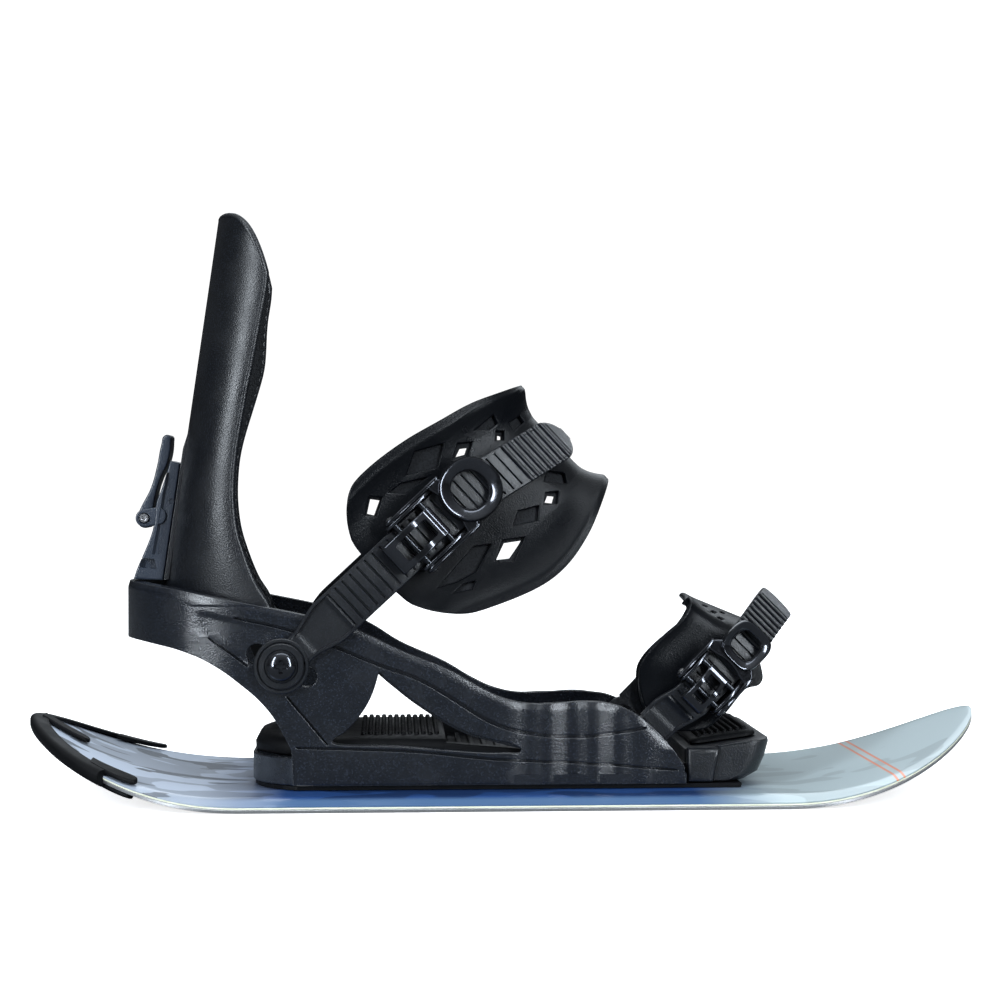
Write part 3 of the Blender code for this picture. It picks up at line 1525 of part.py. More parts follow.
def make_bolts(prefix, strap):
    """Bolt, washer and nut on each side, from the strap's eye through the rail slot and the highback ear."""
    outer = strap.half_span + LADDER_THICKNESS / 2 + EYE_RIM
    washer_low = outer + GAP
    head_low = washer_low + WASHER_THICKNESS + GAP
    ear_inner = BASE_HALF_WIDTH - RAIL_THICKNESS - GAP - EAR_THICKNESS
    nut_high = ear_inner - GAP
    nut_low = nut_high - NUT_THICKNESS
    x, z = STRAP_BOLT_X, STRAP_BOLT_Z
    for name, side in (("near", -1), ("far", 1)):
        place = facing_side(x, 0.0, z, side)
        bolt = turned(
            f"{prefix}_bolt_{name}",
            [
                (0.0, head_low + BOLT_HEAD_HEIGHT),
                (BOLT_HEAD_RADIUS * 0.55, head_low + BOLT_HEAD_HEIGHT * 0.95),
                (BOLT_HEAD_RADIUS * 0.9, head_low + BOLT_HEAD_HEIGHT * 0.6),
                (BOLT_HEAD_RADIUS, head_low),
                (BOLT_RADIUS, head_low),
                (BOLT_RADIUS, nut_low - 0.0006),
                (0.0, nut_low - 0.0006),
            ],
            24,
            place,
            black_metal(),
        )
        round_shading(bolt)
        bore = BOLT_RADIUS + PIN_GAP
        ring = (side * washer_low, side * (washer_low + WASHER_THICKNESS))
        rim = [circle(x, z, WASHER_RADIUS, 28), circle(x, z, bore, 16)]
        prism(f"{prefix}_washer_{name}", rim, min(ring), max(ring), black_metal(), upright=True)
        hexagon = circle(x, z, NUT_RADIUS, 6)
        span = (side * nut_low, side * nut_high)
        outlines = [hexagon, circle(x, z, bore, 16)]
        prism(f"{prefix}_nut_{name}", outlines, min(span), max(span), bright_steel(), upright=True)


def make_toe_bolts(strap):
    """Toe strap bolts, screwed into the rails from inside."""
    inner = strap.half_span - LADDER_THICKNESS / 2 - EYE_RIM
    for name, side in (("near", -1), ("far", 1)):
        place = facing_side(TOE_BOLT_X, 0.0, TOE_BOLT_Z, side)
        head_high = inner - GAP
        bolt = turned(
            f"toe_bolt_{name}",
            [
                (0.0, BASE_HALF_WIDTH - 0.0028),
                (BOLT_RADIUS, BASE_HALF_WIDTH - 0.0028),
                (BOLT_RADIUS, head_high),
                (BOLT_HEAD_RADIUS * 0.85, head_high),
                (BOLT_HEAD_RADIUS * 0.8, head_high - 0.0022),
                (0.0, head_high - 0.0026),
            ],
            20,
            place,
            black_metal(),
        )
        round_shading(bolt)


# Buckles


def local_prism(name, seat, outlines, low, high, material=None, upright=False, is_cutter=False, curve_steps=3):
    """Outline piece in a buckle's own axes: flat outlines are X-Y, upright ones X-Z along the strap."""
    mesh = outline_mesh(name, outlines, high - low, curve_steps)
    middle = (low + high) / 2
    if upright:
        place = Matrix.Translation((0, middle, 0)) @ Matrix.Rotation(math.pi / 2, 4, "X")
    else:
        place = Matrix.Translation((0, 0, middle))
    return add_mesh(name, mesh, material, seat @ place, is_cutter)


def oval(x, y, reach_x, reach_y, count=28):
    turn = 2 * math.pi / count
    return [(x + reach_x * math.cos(i * turn), y + reach_y * math.sin(i * turn)) for i in range(count)]


def make_buckle(prefix, seat, ladder_width, k):
    """Ratchet buckle. Its +X runs up the strap and +Z points out from the foot."""
    metal = black_metal()
    wall_in = ladder_width / 2 + 0.0006
    wall_out = wall_in + FRAME_WALL
    arm_in = wall_out + GAP
    arm_out = arm_in + LEVER_WALL
    floor_low = -(PAD_OFFSET - PAD_THICKNESS / 2) + GAP
    floor_high = floor_low + 0.0013
    lever_x, lever_z = -0.0175 * k, 0.0046
    release_x, release_z = -0.0030 * k, 0.0054

    side = [
        (-0.0215 * k, floor_low),
        (0.0105 * k, floor_low),
        (0.0105 * k, -0.0015),
        (0.0060 * k, 0.0010),
        (0.0030 * k, 0.0060),
        (0.0000, 0.0078),
        (-0.0195 * k, 0.0078),
        (-0.0215 * k, 0.0060),
    ]
    frame = local_prism(f"{prefix}_buckle_frame", seat, [side], -wall_out, wall_out, metal, upright=True)
    channel = local_prism(
        f"{prefix}_frame_channel",
        seat,
        [rectangle(-0.03, floor_high, 0.03, 0.02)],
        -wall_in,
        wall_in,
        upright=True,
        is_cutter=True,
    )
    cut(frame, channel)
    for pin_name, px, pz in (("lever", lever_x, lever_z), ("release", release_x, release_z)):
        hole = circle(px, pz, BUCKLE_PIN_RADIUS + PIN_GAP, 14)
        way = local_prism(f"{prefix}_{pin_name}_pin_way", seat, [hole], -0.03, 0.03, upright=True, is_cutter=True)
        cut(frame, way)

    pin_place = Matrix.Rotation(math.pi / 2, 4, "X")
    for pin_name, px, pz, reach in (
        ("lever", lever_x, lever_z, arm_out + 0.0008),
        ("release", release_x, release_z, wall_out - 0.0001),
    ):
        pin = turned(
            f"{prefix}_{pin_name}_pin",
            [(0.0, reach), (BUCKLE_PIN_RADIUS, reach), (BUCKLE_PIN_RADIUS, -reach), (0.0, -reach)],
            12,
            seat @ Matrix.Translation((px, 0, pz)) @ pin_place,
            bright_steel(),
        )
        round_shading(pin)

    make_lever(prefix, seat, k, arm_in, arm_out, lever_x, lever_z, metal)
    make_release(prefix, seat, k, release_x, release_z, metal)


def make_lever(prefix, seat, k, arm_in, arm_out, pin_x, pin_z, metal):
    """Drive lever: two arms on the pin and a ring that the thumb pulls."""
    low, high = 0.0044, 0.0072
    ring_x = 0.0215 * k
    ring_reach_x, ring_reach_y = 0.0135 * k, RING_HALF_WIDTH
    plan = [
        (pin_x - 0.0030 * k, -arm_out),
        (0.0070 * k, -arm_out),
        (ring_x - ring_reach_x * 0.55, -ring_reach_y * 0.86),
        (ring_x, -ring_reach_y, 1),
        (ring_x + ring_reach_x * 0.75, -ring_reach_y * 0.68, 1),
        (ring_x + ring_reach_x, 0.0, 1),
        (ring_x + ring_reach_x * 0.75, ring_reach_y * 0.68, 1),
        (ring_x, ring_reach_y, 1),
        (ring_x - ring_reach_x * 0.55, ring_reach_y * 0.86),
        (0.0070 * k, arm_out),
        (pin_x - 0.0030 * k, arm_out),
        (pin_x - 0.0030 * k, arm_in),
        (0.0075 * k, arm_in),
        (0.0095 * k, arm_in * 0.8),
        (0.0095 * k, -arm_in * 0.8),
        (0.0075 * k, -arm_in),
        (pin_x - 0.0030 * k, -arm_in),
    ]
    hole = oval(ring_x + 0.0010 * k, 0.0, 0.0082 * k, 0.0080, 20)
    lever = local_prism(f"{prefix}_buckle_lever", seat, [plan, hole], low, high, metal, curve_steps=3)
    boss = circle(pin_x, pin_z, 0.0031, 20)
    for name, first, last in (("near", -arm_out, -arm_in), ("far", arm_in, arm_out)):
        join(
            lever,
            local_prism(
                f"{prefix}_lever_boss_{name}",
                seat,
                [boss],
                first - 0.00001,
                last + 0.00001,
                upright=True,
                is_cutter=True,
            ),
        )
    way = circle(pin_x, pin_z, BUCKLE_PIN_RADIUS + PIN_GAP, 14)
    cut(lever, local_prism(f"{prefix}_lever_way", seat, [way], -0.03, 0.03, upright=True, is_cutter=True))
    return lever


def make_release(prefix, seat, k, pin_x, pin_z, metal):
    """Release pawl: an open tab on its own pin, arched over the lever pin."""
    half = 0.0072 * k
    arch = [
        (pin_x + 0.0022, pin_z, 1),
        (pin_x + 0.0012, pin_z + 0.0020, 1),
        (pin_x - 0.0020 * k, pin_z + 0.0028, 1),
        (-0.0110 * k, 0.0097, 1),
        (-0.0180 * k, 0.0098, 1),
        (-0.0250 * k, 0.0086, 1),
        (-0.0285 * k, 0.0068, 1),
        (-0.0275 * k, 0.0058, 1),
        (-0.0240 * k, 0.0067, 1),
        (-0.0180 * k, 0.0079, 1),
        (-0.0110 * k, 0.0077, 1),
        (pin_x - 0.0028, pin_z + 0.0004, 1),
        (pin_x - 0.0014, pin_z - 0.0018, 1),
        (pin_x + 0.0006, pin_z - 0.0021, 1),
    ]
    release = local_prism(
        f"{prefix}_buckle_release", seat, [arch], -half, half, metal, upright=True, curve_steps=2
    )
    opening = local_prism(
        f"{prefix}_release_opening",
        seat,
        [rectangle(-0.0230 * k, -0.0044 * k, -0.0085 * k, 0.0044 * k)],
        0.0,
        0.02,
        is_cutter=True,
    )
    cut(release, opening)
    way = circle(pin_x, pin_z, BUCKLE_PIN_RADIUS + PIN_GAP, 14)
    cut(release, local_prism(f"{prefix}_release_way", seat, [way], -0.03, 0.03, upright=True, is_cutter=True))
    return release


def main():
    global parts, cutters
    clear_scene()
    parts = new_collection("skiboard")
    cutters = new_collection("cutters")
    make_board()
    make_tail_bumper()
    make_gasket()
    make_chassis()
    make_disc()
    make_footbeds()
    make_toe_ramp()
    make_ramp_pad()
    make_highback()
    make_lean_adjuster()
    make_ankle_strap()
    make_toe_strap()
    bpy.context.view_layer.update()


main()
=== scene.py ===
"""Looks of a skiboard with a strap binding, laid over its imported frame.

Metres, +Z up, +X towards the nose, -Y is the buckle side. Each piece rides on the body that carries it.
"""

import bisect
import math

import bmesh
import bpy
from bpy.props import FloatProperty, FloatVectorProperty, PointerProperty
from mathutils import Matrix, Vector


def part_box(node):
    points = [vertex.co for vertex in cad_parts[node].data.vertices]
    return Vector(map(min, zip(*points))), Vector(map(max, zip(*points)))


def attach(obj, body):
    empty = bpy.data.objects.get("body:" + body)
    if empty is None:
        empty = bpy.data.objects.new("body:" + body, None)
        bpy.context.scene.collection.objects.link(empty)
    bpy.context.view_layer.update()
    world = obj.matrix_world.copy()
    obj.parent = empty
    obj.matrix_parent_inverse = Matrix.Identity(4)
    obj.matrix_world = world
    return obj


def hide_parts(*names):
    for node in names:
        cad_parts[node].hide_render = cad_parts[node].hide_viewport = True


bl_info = {
    "name": "Skiboard with strap binding",
    "version": (1, 0, 0),
    "blender": (4, 5, 0),
    "location": "3D View > Sidebar > Skiboard",
    "description": "Dresses a short ski with its strap binding in finished pieces",
    "category": "Add Mesh",
}

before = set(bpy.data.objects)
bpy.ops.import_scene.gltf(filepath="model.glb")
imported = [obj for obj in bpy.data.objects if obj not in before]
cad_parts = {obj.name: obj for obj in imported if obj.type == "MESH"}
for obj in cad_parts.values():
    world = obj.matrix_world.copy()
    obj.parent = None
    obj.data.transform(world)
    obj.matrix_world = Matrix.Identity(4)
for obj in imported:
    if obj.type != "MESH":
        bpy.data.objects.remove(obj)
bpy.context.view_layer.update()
board_low, board_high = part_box("topsheet")
chassis_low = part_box("chassis")[0]

GAP = 0.0003

# Board
TAIL_TIP = board_low.x
NOSE_TIP = board_high.x
BOARD_HALF_WIDTH = board_high.y
TAPER_POWER = 1.75
BEND_RADIUS = 0.172
NOSE_BEND_START = 0.118
TAIL_BEND_START = -0.118
BEND_TO_TAPER = 0.014
NOSE_TAPER_START = NOSE_BEND_START + BEND_TO_TAPER
TAIL_TAPER_START = TAIL_BEND_START - BEND_TO_TAPER
EDGE_HEIGHT = 0.0015
EDGE_WIDTH = 0.0022
TOPSHEET_THICKNESS = 0.0005
LAYER_GAP = 0.0002
CAP_EDGE_HEIGHT = 0.003
CAP_MIDDLE_HEIGHT = 0.0058
CAP_TIP_HEIGHT = 0.0036
CAP_SHOULDER_WIDTH = 0.01

# Tail bumper
BUMPER_WALL = 0.004
BUMPER_LIP = 0.0045
BUMPER_LIP_THICKNESS = 0.0026
BUMPER_HALF_SPAN = 0.0585
BUMPER_PLAY = 0.0006
BUMPER_TAB_THICKNESS = 0.0021
LEG_START = -0.186
LEG_END = -0.164
TONGUE_START = -0.214
TONGUE_END = -0.193

# Binding base
BASE_HALF_WIDTH = 0.052
BASE_HEEL = -0.1162
BASE_FRONT = 0.078
HEEL_CORNER_RADIUS = 0.032
BASE_BOTTOM = chassis_low.z
FLOOR_TOP = BASE_BOTTOM + 0.0045
SLAB_HEEL_TOP = 0.0205
RAIL_THICKNESS = 0.007
HOOP_BACK = chassis_low.x
HOOP_START = -0.118
HOOP_THICKNESS = 0.006
HOOP_DEPTH = HOOP_START - HOOP_BACK
DISC_RADIUS = 0.0375
WALL_SKIN = 0.003
WINDOW_STEP = 0.0012
WAVE_HEIGHT = 0.0011
WAVE_PITCH = 0.021
SEAM_HEIGHT = 0.0885
SCOOP_DEPTH = 0.0009
CROWN_DEPTH = 0.0009
CROWN_REACH = 0.0045

# Footbeds
PAD_HALF_WIDTH = BASE_HALF_WIDTH - RAIL_THICKNESS - 0.0004
HEEL_PAD_TOP = 0.029
HEEL_PAD_FRONT = -0.028
FRONT_PAD_FRONT = 0.042
FRONT_PAD_THICKNESS = 0.004
DISC_FLANGE_THICKNESS = 0.003

# Toe ramp
RAMP_BACK = BASE_FRONT + 0.0006
RAMP_FRONT = 0.117
RAMP_HALF_WIDTH = BASE_HALF_WIDTH - 0.005
RAMP_EDGE_TOP = 0.028
RAMP_BACK_TOP = 0.0225
RAMP_PAD_TOP = 0.0032
TONGUE_BACK = 0.046
TONGUE_THICKNESS = 0.003

# Straps
STRAP_BOLT_X = -0.1018
STRAP_BOLT_Z = 0.0616
ANKLE_TILT = math.radians(43)
ANKLE_HEIGHT = 0.1635
TOE_BOLT_X = 0.0604
TOE_BOLT_Z = 0.0286
TOE_TILT = math.radians(45)
TOE_HEIGHT = 0.0745
LADDER_THICKNESS = 0.0026
ANKLE_LADDER_WIDTH = 0.0212
TOE_LADDER_WIDTH = 0.0178
TOOTH_PITCH = 0.0044
TOOTH_HEIGHT = 0.0012
ANKLE_EYE_RADIUS = 0.0122
TOE_EYE_RADIUS = 0.0092
BOLT_RADIUS = 0.003
PAD_THICKNESS = 0.0028
PAD_OFFSET = 0.0062
ANKLE_HALF_SPAN = BASE_HALF_WIDTH + 0.0004 + LADDER_THICKNESS / 2
TOE_HALF_SPAN = BASE_HALF_WIDTH - RAIL_THICKNESS - 0.0007 - LADDER_THICKNESS / 2

# Highback
HIGHBACK_BOTTOM = 0.079
HIGHBACK_TOP = 0.266
HIGHBACK_CORNER_DROP = 0.027
HIGHBACK_CORNER_POWER = 5.2
HIGHBACK_EDGE_TOP = 0.2632
SHELL_THICKNESS = 0.0035
LINER_THICKNESS = 0.0035

# Lean adjuster
LEAN_HALF_WIDTH = 0.014
LEAN_PIN_X = -0.1664
LEAN_PIN_Z = 0.1261
LEAN_PIN_RADIUS = 0.0021
LEVER_HALF_WIDTH = 0.0085


# Finishes

FINISH_PREFIX = "finish_"


class Recipe:
    """A material in the making, with short ways to add its nodes."""

    def __init__(self, name):
        self.made = bpy.data.materials.new(FINISH_PREFIX + name)
        self.made.use_nodes = True
        self.tree = self.made.node_tree
        self.shader = self.tree.nodes["Principled BSDF"]
        self.where = self.tree.nodes.new("ShaderNodeTexCoord").outputs["Object"]

    def node(self, kind, sockets=None, **settings):
        made = self.tree.nodes.new("ShaderNode" + kind)
        for key, value in settings.items():
            setattr(made, key, value)
        for key, value in (sockets or {}).items():
            self.put(made.inputs[key], value)
        return made

    def put(self, socket, value):
        if isinstance(value, bpy.types.NodeSocket):
            self.tree.links.new(value, socket)
        elif hasattr(value, "__len__") and len(value) == 3 and len(socket.default_value) == 4:
            socket.default_value = (*value, 1.0)
        else:
            socket.default_value = value

    def set(self, **values):
        for key, value in values.items():
            self.put(self.shader.inputs[key.replace("_", " ")], value)

    def stretched(self, scale):
        return self.node("Mapping", {"Vector": self.where, "Scale": scale}).outputs["Vector"]

    def noise(self, scale, detail=3.0, where=None):
        sockets = {"Vector": where or self.where, "Scale": scale, "Detail": detail}
        return self.node("TexNoise", sockets).outputs["Fac"]

    def spread(self, value, low, high, to_low, to_high):
        """The value's range from low to high, stretched to another range."""
        sockets = {"Value": value, "From Min": low, "From Max": high, "To Min": to_low, "To Max": to_high}
        return self.node("MapRange", sockets).outputs["Result"]

    def mix(self, share, first, second):
        made = self.node("Mix", data_type="RGBA")
        self.put(made.inputs["Factor"], share)
        self.put(made.inputs[6], first)
        self.put(made.inputs[7], second)
        return made.outputs[2]

    def math(self, operation, first, second=0.0):
        made = self.node("Math", operation=operation)
        self.put(made.inputs[0], first)
        self.put(made.inputs[1], second)
        return made.outputs[0]

    def bump(self, height, distance, strength):
        sockets = {"Height": height, "Distance": distance, "Strength": strength}
        return self.node("Bump", sockets).outputs["Normal"]


def toned(colour, factor):
    return tuple(factor * part for part in colour)


def satin_nylon(name, colour, lit, roughness, specular):
    """Moulded nylon: dark, with a leathery grain, painted sparkle from paler flecks in a lit colour, and slow
    changes of gloss.
    """
    recipe = Recipe(name)
    grain = recipe.noise(1500.0, 3.0)
    cloud = recipe.noise(60.0, 4.0)
    # Where the grain is high, the colour turns to the lit one: part grain, part painted glints of light.
    painted_glint_mask = recipe.spread(grain, 0.5, 0.74, 0.0, 1.0)
    recipe.set(Base_Color=recipe.mix(painted_glint_mask, colour, lit))
    gloss = recipe.math("ADD", recipe.spread(cloud, 0.3, 0.7, -0.07, 0.07), roughness)
    recipe.set(Roughness=gloss, Normal=recipe.bump(grain, 0.00035, 0.4), Specular_IOR_Level=specular)
    return recipe.made


def black_nylon(colours):
    # Flecks of painted glints, 4.5 times paler than the nylon.
    return satin_nylon("black_nylon", colours.nylon, toned(colours.nylon, 4.5), 0.37, 0.5)


def grained_nylon(colours):
    """Coarser, paler grain of the binding base, whose flecks of painted sparkle are four times paler."""
    colour = toned(colours.nylon, 1.9)
    return satin_nylon("grained_nylon", colour, toned(colour, 4.0), 0.25, 0.6)


def grey_nylon(colours):
    return satin_nylon("grey_nylon", colours.block, toned(colours.block, 1.5), 0.34, 0.6)


def pad_nylon(colours):
    # Flecks of painted glints, only 1.4 times paler than the pad's nylon.
    return satin_nylon("pad_nylon", colours.pad, toned(colours.pad, 1.4), 0.33, 0.15)


def black_rubber(colours):
    """Matte rubber with a dusty bloom on its high spots."""
    recipe = Recipe("black_rubber")
    fine = recipe.noise(2600.0, 2.0)
    dust = recipe.noise(90.0, 5.0)
    bloom = recipe.spread(dust, 0.5, 0.85, 0.0, 0.4)
    recipe.set(Base_Color=recipe.mix(bloom, colours.rubber, (0.006, 0.0063, 0.0074)))
    recipe.set(Roughness=recipe.spread(dust, 0.3, 0.7, 0.45, 0.62), Normal=recipe.bump(fine, 0.0001, 0.25))
    recipe.set(Specular_IOR_Level=0.12)
    return recipe.made


def foam(colours):
    """Lining foam, embossed with a fine grid of cells."""
    recipe = Recipe("foam")
    cells = recipe.node("TexVoronoi", {"Vector": recipe.where, "Scale": 1050.0}).outputs["Distance"]
    # Paler on the raised rims of the embossed cells, darker in their sunk middles.
    cell_rim_share = recipe.spread(cells, 0.1, 0.6, 0.0, 1.0)
    recipe.set(Base_Color=recipe.mix(cell_rim_share, colours.rubber, (0.01, 0.011, 0.013)))
    recipe.set(Roughness=0.7, Normal=recipe.bump(cells, 0.0003, 0.5), Specular_IOR_Level=0.2)
    return recipe.made


def black_chrome(colours):
    """Black plated metal with faint handling marks."""
    recipe = Recipe("black_metal")
    marks = recipe.noise(700.0, 6.0, recipe.stretched((1.0, 8.0, 1.0)))
    recipe.set(Base_Color=recipe.mix(marks, colours.chrome, toned(colours.chrome, 1.6)), Metallic=0.9)
    recipe.set(Roughness=recipe.spread(marks, 0.35, 0.75, 0.09, 0.2))
    return recipe.made


def dark_steel(_colours):
    """Blackened steel of the buckle pins."""
    recipe = Recipe("dark_steel")
    grain = recipe.noise(1400.0, 3.0)
    recipe.set(Base_Color=recipe.mix(grain, (0.03, 0.033, 0.038), (0.06, 0.064, 0.072)), Metallic=1.0)
    recipe.set(Roughness=recipe.spread(grain, 0.3, 0.7, 0.22, 0.36))
    return recipe.made


def bright_steel(_colours):
    recipe = Recipe("bright_steel")
    grain = recipe.noise(900.0, 3.0, recipe.stretched((1.0, 1.0, 10.0)))
    recipe.set(Base_Color=recipe.mix(grain, (0.5, 0.5, 0.52), (0.66, 0.66, 0.67)), Metallic=1.0)
    recipe.set(Roughness=recipe.spread(grain, 0.3, 0.7, 0.18, 0.34))
    return recipe.made


def edge_steel(_colours):
    """Ground steel edge, with its grinding marks across it."""
    recipe = Recipe("edge_steel")
    grain = recipe.noise(1500.0, 2.0, recipe.stretched((1.0, 0.1, 0.1)))
    recipe.set(Base_Color=recipe.mix(grain, (0.55, 0.55, 0.56), (0.72, 0.72, 0.73)), Metallic=1.0)
    recipe.set(Roughness=0.3, Normal=recipe.bump(grain, 0.00003, 0.4))
    return recipe.made


def brass(_colours):
    recipe = Recipe("brass")
    grain = recipe.noise(900.0)
    recipe.set(Base_Color=recipe.mix(grain, (0.62, 0.44, 0.17), (0.75, 0.57, 0.27)), Metallic=1.0)
    recipe.set(Roughness=0.35)
    return recipe.made


def sidewall(colours):
    """Pale plastic of the core's side."""
    recipe = Recipe("core")
    streaks = recipe.noise(120.0, 4.0, recipe.stretched((1.0, 1.0, 12.0)))
    share = recipe.spread(streaks, 0.3, 0.7, 0.0, 1.0)
    recipe.set(Base_Color=recipe.mix(share, colours.core, (0.86, 0.87, 0.74)))
    recipe.set(Roughness=0.38)
    return recipe.made


def base_plastic(_colours):
    recipe = Recipe("board_base")
    cloud = recipe.noise(60.0, 5.0)
    recipe.set(Base_Color=recipe.mix(cloud, (0.03, 0.032, 0.036), (0.06, 0.063, 0.07)))
    recipe.set(Roughness=recipe.spread(cloud, 0.3, 0.7, 0.28, 0.45))
    return recipe.made


def topsheet_print(colours):
    """Glossy print: drifting patches, navy in the middle, ice blue at the nose and grey blue at the tail."""
    recipe = Recipe("topsheet")
    apart = recipe.node("SeparateXYZ", {"Vector": recipe.where})
    along, across = apart.outputs["X"], apart.outputs["Y"]
    nose = recipe.spread(along, 0.08, 0.118, 0.0, 1.0)
    tail = recipe.spread(along, -0.1, -0.138, 0.0, 1.0)
    side = recipe.spread(recipe.math("ABSOLUTE", across), 0.0675, 0.0705, 0.0, 1.0)
    drift = recipe.noise(34.0, 1.0, recipe.stretched((0.8, 1.5, 1.0)))
    patch = recipe.spread(drift, 0.525, 0.54, 0.0, 1.0)
    second = recipe.spread(recipe.noise(52.0, 1.0, recipe.stretched((0.6, 1.9, 1.0))), 0.6, 0.612, 0.0, 1.0)
    lit = toned(colours.sheet_dark, 1.9)
    middle = recipe.mix(side, recipe.mix(patch, colours.sheet_dark, lit), colours.sheet_blue)
    pale = recipe.mix(patch, colours.sheet_nose, toned(colours.sheet_nose, 0.8))
    back = recipe.mix(patch, colours.sheet_tail, toned(colours.sheet_tail, 1.55))
    back = recipe.mix(second, back, toned(colours.sheet_tail, 0.42))
    colour = recipe.mix(nose, middle, pale)
    colour = recipe.mix(tail, colour, back)
    for place in (0.17, 0.1735):
        near = recipe.math("ABSOLUTE", recipe.math("SUBTRACT", along, place))
        colour = recipe.mix(recipe.spread(near, 0.0005, 0.0006, 0.85, 0.0), colour, colours.sheet_accent)
    recipe.set(Base_Color=colour, Roughness=0.3, Coat_Weight=0.25, Coat_Roughness=0.08)
    return recipe.made


# How each finish is made, and the slot that it belongs to
FINISHES = {
    "black_nylon": (black_nylon, "black_nylon"),
    "grey_nylon": (grey_nylon, "grey_nylon"),
    "grained_nylon": (grained_nylon, "black_nylon"),
    "pad_nylon": (pad_nylon, "black_nylon"),
    "black_rubber": (black_rubber, "black_rubber"),
    "foam": (foam, "black_rubber"),
    "black_metal": (black_chrome, "black_metal"),
    "dark_steel": (dark_steel, "bright_steel"),
    "bright_steel": (bright_steel, "bright_steel"),
    "edge_steel": (edge_steel, "edge_steel"),
    "brass": (brass, "brass"),
    "core": (sidewall, "core"),
    "board_base": (base_plastic, "board_base"),
    "topsheet": (topsheet_print, "topsheet"),
}


def finish(name):
    """A finish by its name, made once."""
    made = bpy.data.materials.get(FINISH_PREFIX + name)
    return made or FINISHES[name][0](bpy.context.scene.skiboard_colours)


# Building blocks


def piece(name, bm, look, body, replaced=(), smooth=35):
    """Finished piece from a mesh in the making. Edges that turn more than smooth, in degrees, stay sharp."""
    mesh = bpy.data.meshes.new(name)
    bm.to_mesh(mesh)
    bm.free()
    mesh.materials.append(finish(look))
    mesh.shade_smooth()
    mesh.set_sharp_from_angle(angle=math.radians(smooth))
    obj = bpy.data.objects.new(name, mesh)
    bpy.context.scene.collection.objects.link(obj)
    normals = obj.modifiers.new("normals", "WEIGHTED_NORMAL")
    normals.keep_sharp = True
    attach(obj, body)
    if replaced:
        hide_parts(*replaced)
    return obj


def dressed(node, look, rounding=0.0):
    """A solid of the frame that stays, with its finish and softened edges."""
    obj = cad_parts[node]
    obj.data.materials.clear()
    obj.data.materials.append(finish(look))
    if rounding:
        weld = obj.modifiers.new("weld", "WELD")
        weld.merge_threshold = 0.00001
        flat = obj.modifiers.new("flat", "DECIMATE")
        flat.decimate_type = "DISSOLVE"
        flat.angle_limit = math.radians(1)
        edges = obj.modifiers.new("edges", "BEVEL")
        edges.width = rounding
        edges.segments = 2
        edges.limit_method = "ANGLE"
        edges.angle_limit = math.radians(40)
    obj.data.shade_smooth()
    obj.data.set_sharp_from_angle(angle=math.radians(35))
    normals = obj.modifiers.new("normals", "WEIGHTED_NORMAL")
    normals.keep_sharp = True
    return obj


def smooth(*points):
    """Points that a smooth curve runs through. The other points of an outline are corners."""
    return [(*point, 1) for point in points]


def circle(x, y, radius, count=32):
    turn = 2 * math.pi / count
    return [(x + radius * math.cos(i * turn), y + radius * math.sin(i * turn)) for i in range(count)]


def rectangle(x0, y0, x1, y1):
    return [(x0, y0), (x1, y0), (x1, y1), (x0, y1)]


def capsule(x0, y0, x1, y1, radius, count=10):
    """Outline of a slot with round ends between two centres."""
    angle = math.atan2(y1 - y0, x1 - x0)
    ends = ((x1, y1, angle - math.pi / 2), (x0, y0, angle + math.pi / 2))
    step = math.pi / count
    return [
        (x + radius * math.cos(start + i * step), y + radius * math.sin(start + i * step))
        for x, y, start in ends
        for i in range(count + 1)
    ]


def plate(outlines, low, high, rounding=0.0, steps=6, round_steps=2):
    """Filled flat outlines given a depth, with rounded rims."""
    curve = bpy.data.curves.new("outline", "CURVE")
    curve.dimensions = "2D"
    curve.fill_mode = "BOTH"
    curve.extrude = (high - low) / 2 - rounding
    curve.bevel_depth = rounding
    curve.bevel_resolution = round_steps
    curve.offset = -rounding
    curve.resolution_u = steps
    for outline in outlines:
        spline = curve.splines.new("BEZIER")
        spline.bezier_points.add(len(outline) - 1)
        spline.use_cyclic_u = True
        for knot, point in zip(spline.bezier_points, outline):
            knot.co = (point[0], point[1], 0.0)
            kind = "AUTO" if len(point) == 3 else "VECTOR"
            knot.handle_left_type = kind
            knot.handle_right_type = kind
    bm = mesh_of(bpy.data.objects.new("outline", curve))
    bmesh.ops.translate(bm, verts=bm.verts, vec=(0, 0, (low + high) / 2))
    return bm


def mesh_of(guide):
    """Closed mesh of a curve object, which is removed."""
    bpy.context.scene.collection.objects.link(guide)
    seen = guide.evaluated_get(bpy.context.evaluated_depsgraph_get())
    mesh = bpy.data.meshes.new_from_object(seen)
    curve = guide.data
    bpy.data.objects.remove(guide)
    bpy.data.curves.remove(curve)
    bm = bmesh.new()
    bm.from_mesh(mesh)
    bpy.data.meshes.remove(mesh)
    bmesh.ops.remove_doubles(bm, verts=bm.verts, dist=0.000005)
    bmesh.ops.recalc_face_normals(bm, faces=bm.faces)
    return bm


def tube(points, radius, closed=False):
    """Round bar through points."""
    curve = bpy.data.curves.new("bar", "CURVE")
    curve.dimensions = "3D"
    curve.bevel_depth = radius
    curve.bevel_resolution = 4
    curve.use_fill_caps = True
    spline = curve.splines.new("POLY")
    spline.points.add(len(points) - 1)
    spline.use_cyclic_u = closed
    for knot, point in zip(spline.points, points):
        knot.co = (*point, 1.0)
    return mesh_of(bpy.data.objects.new("bar", curve))


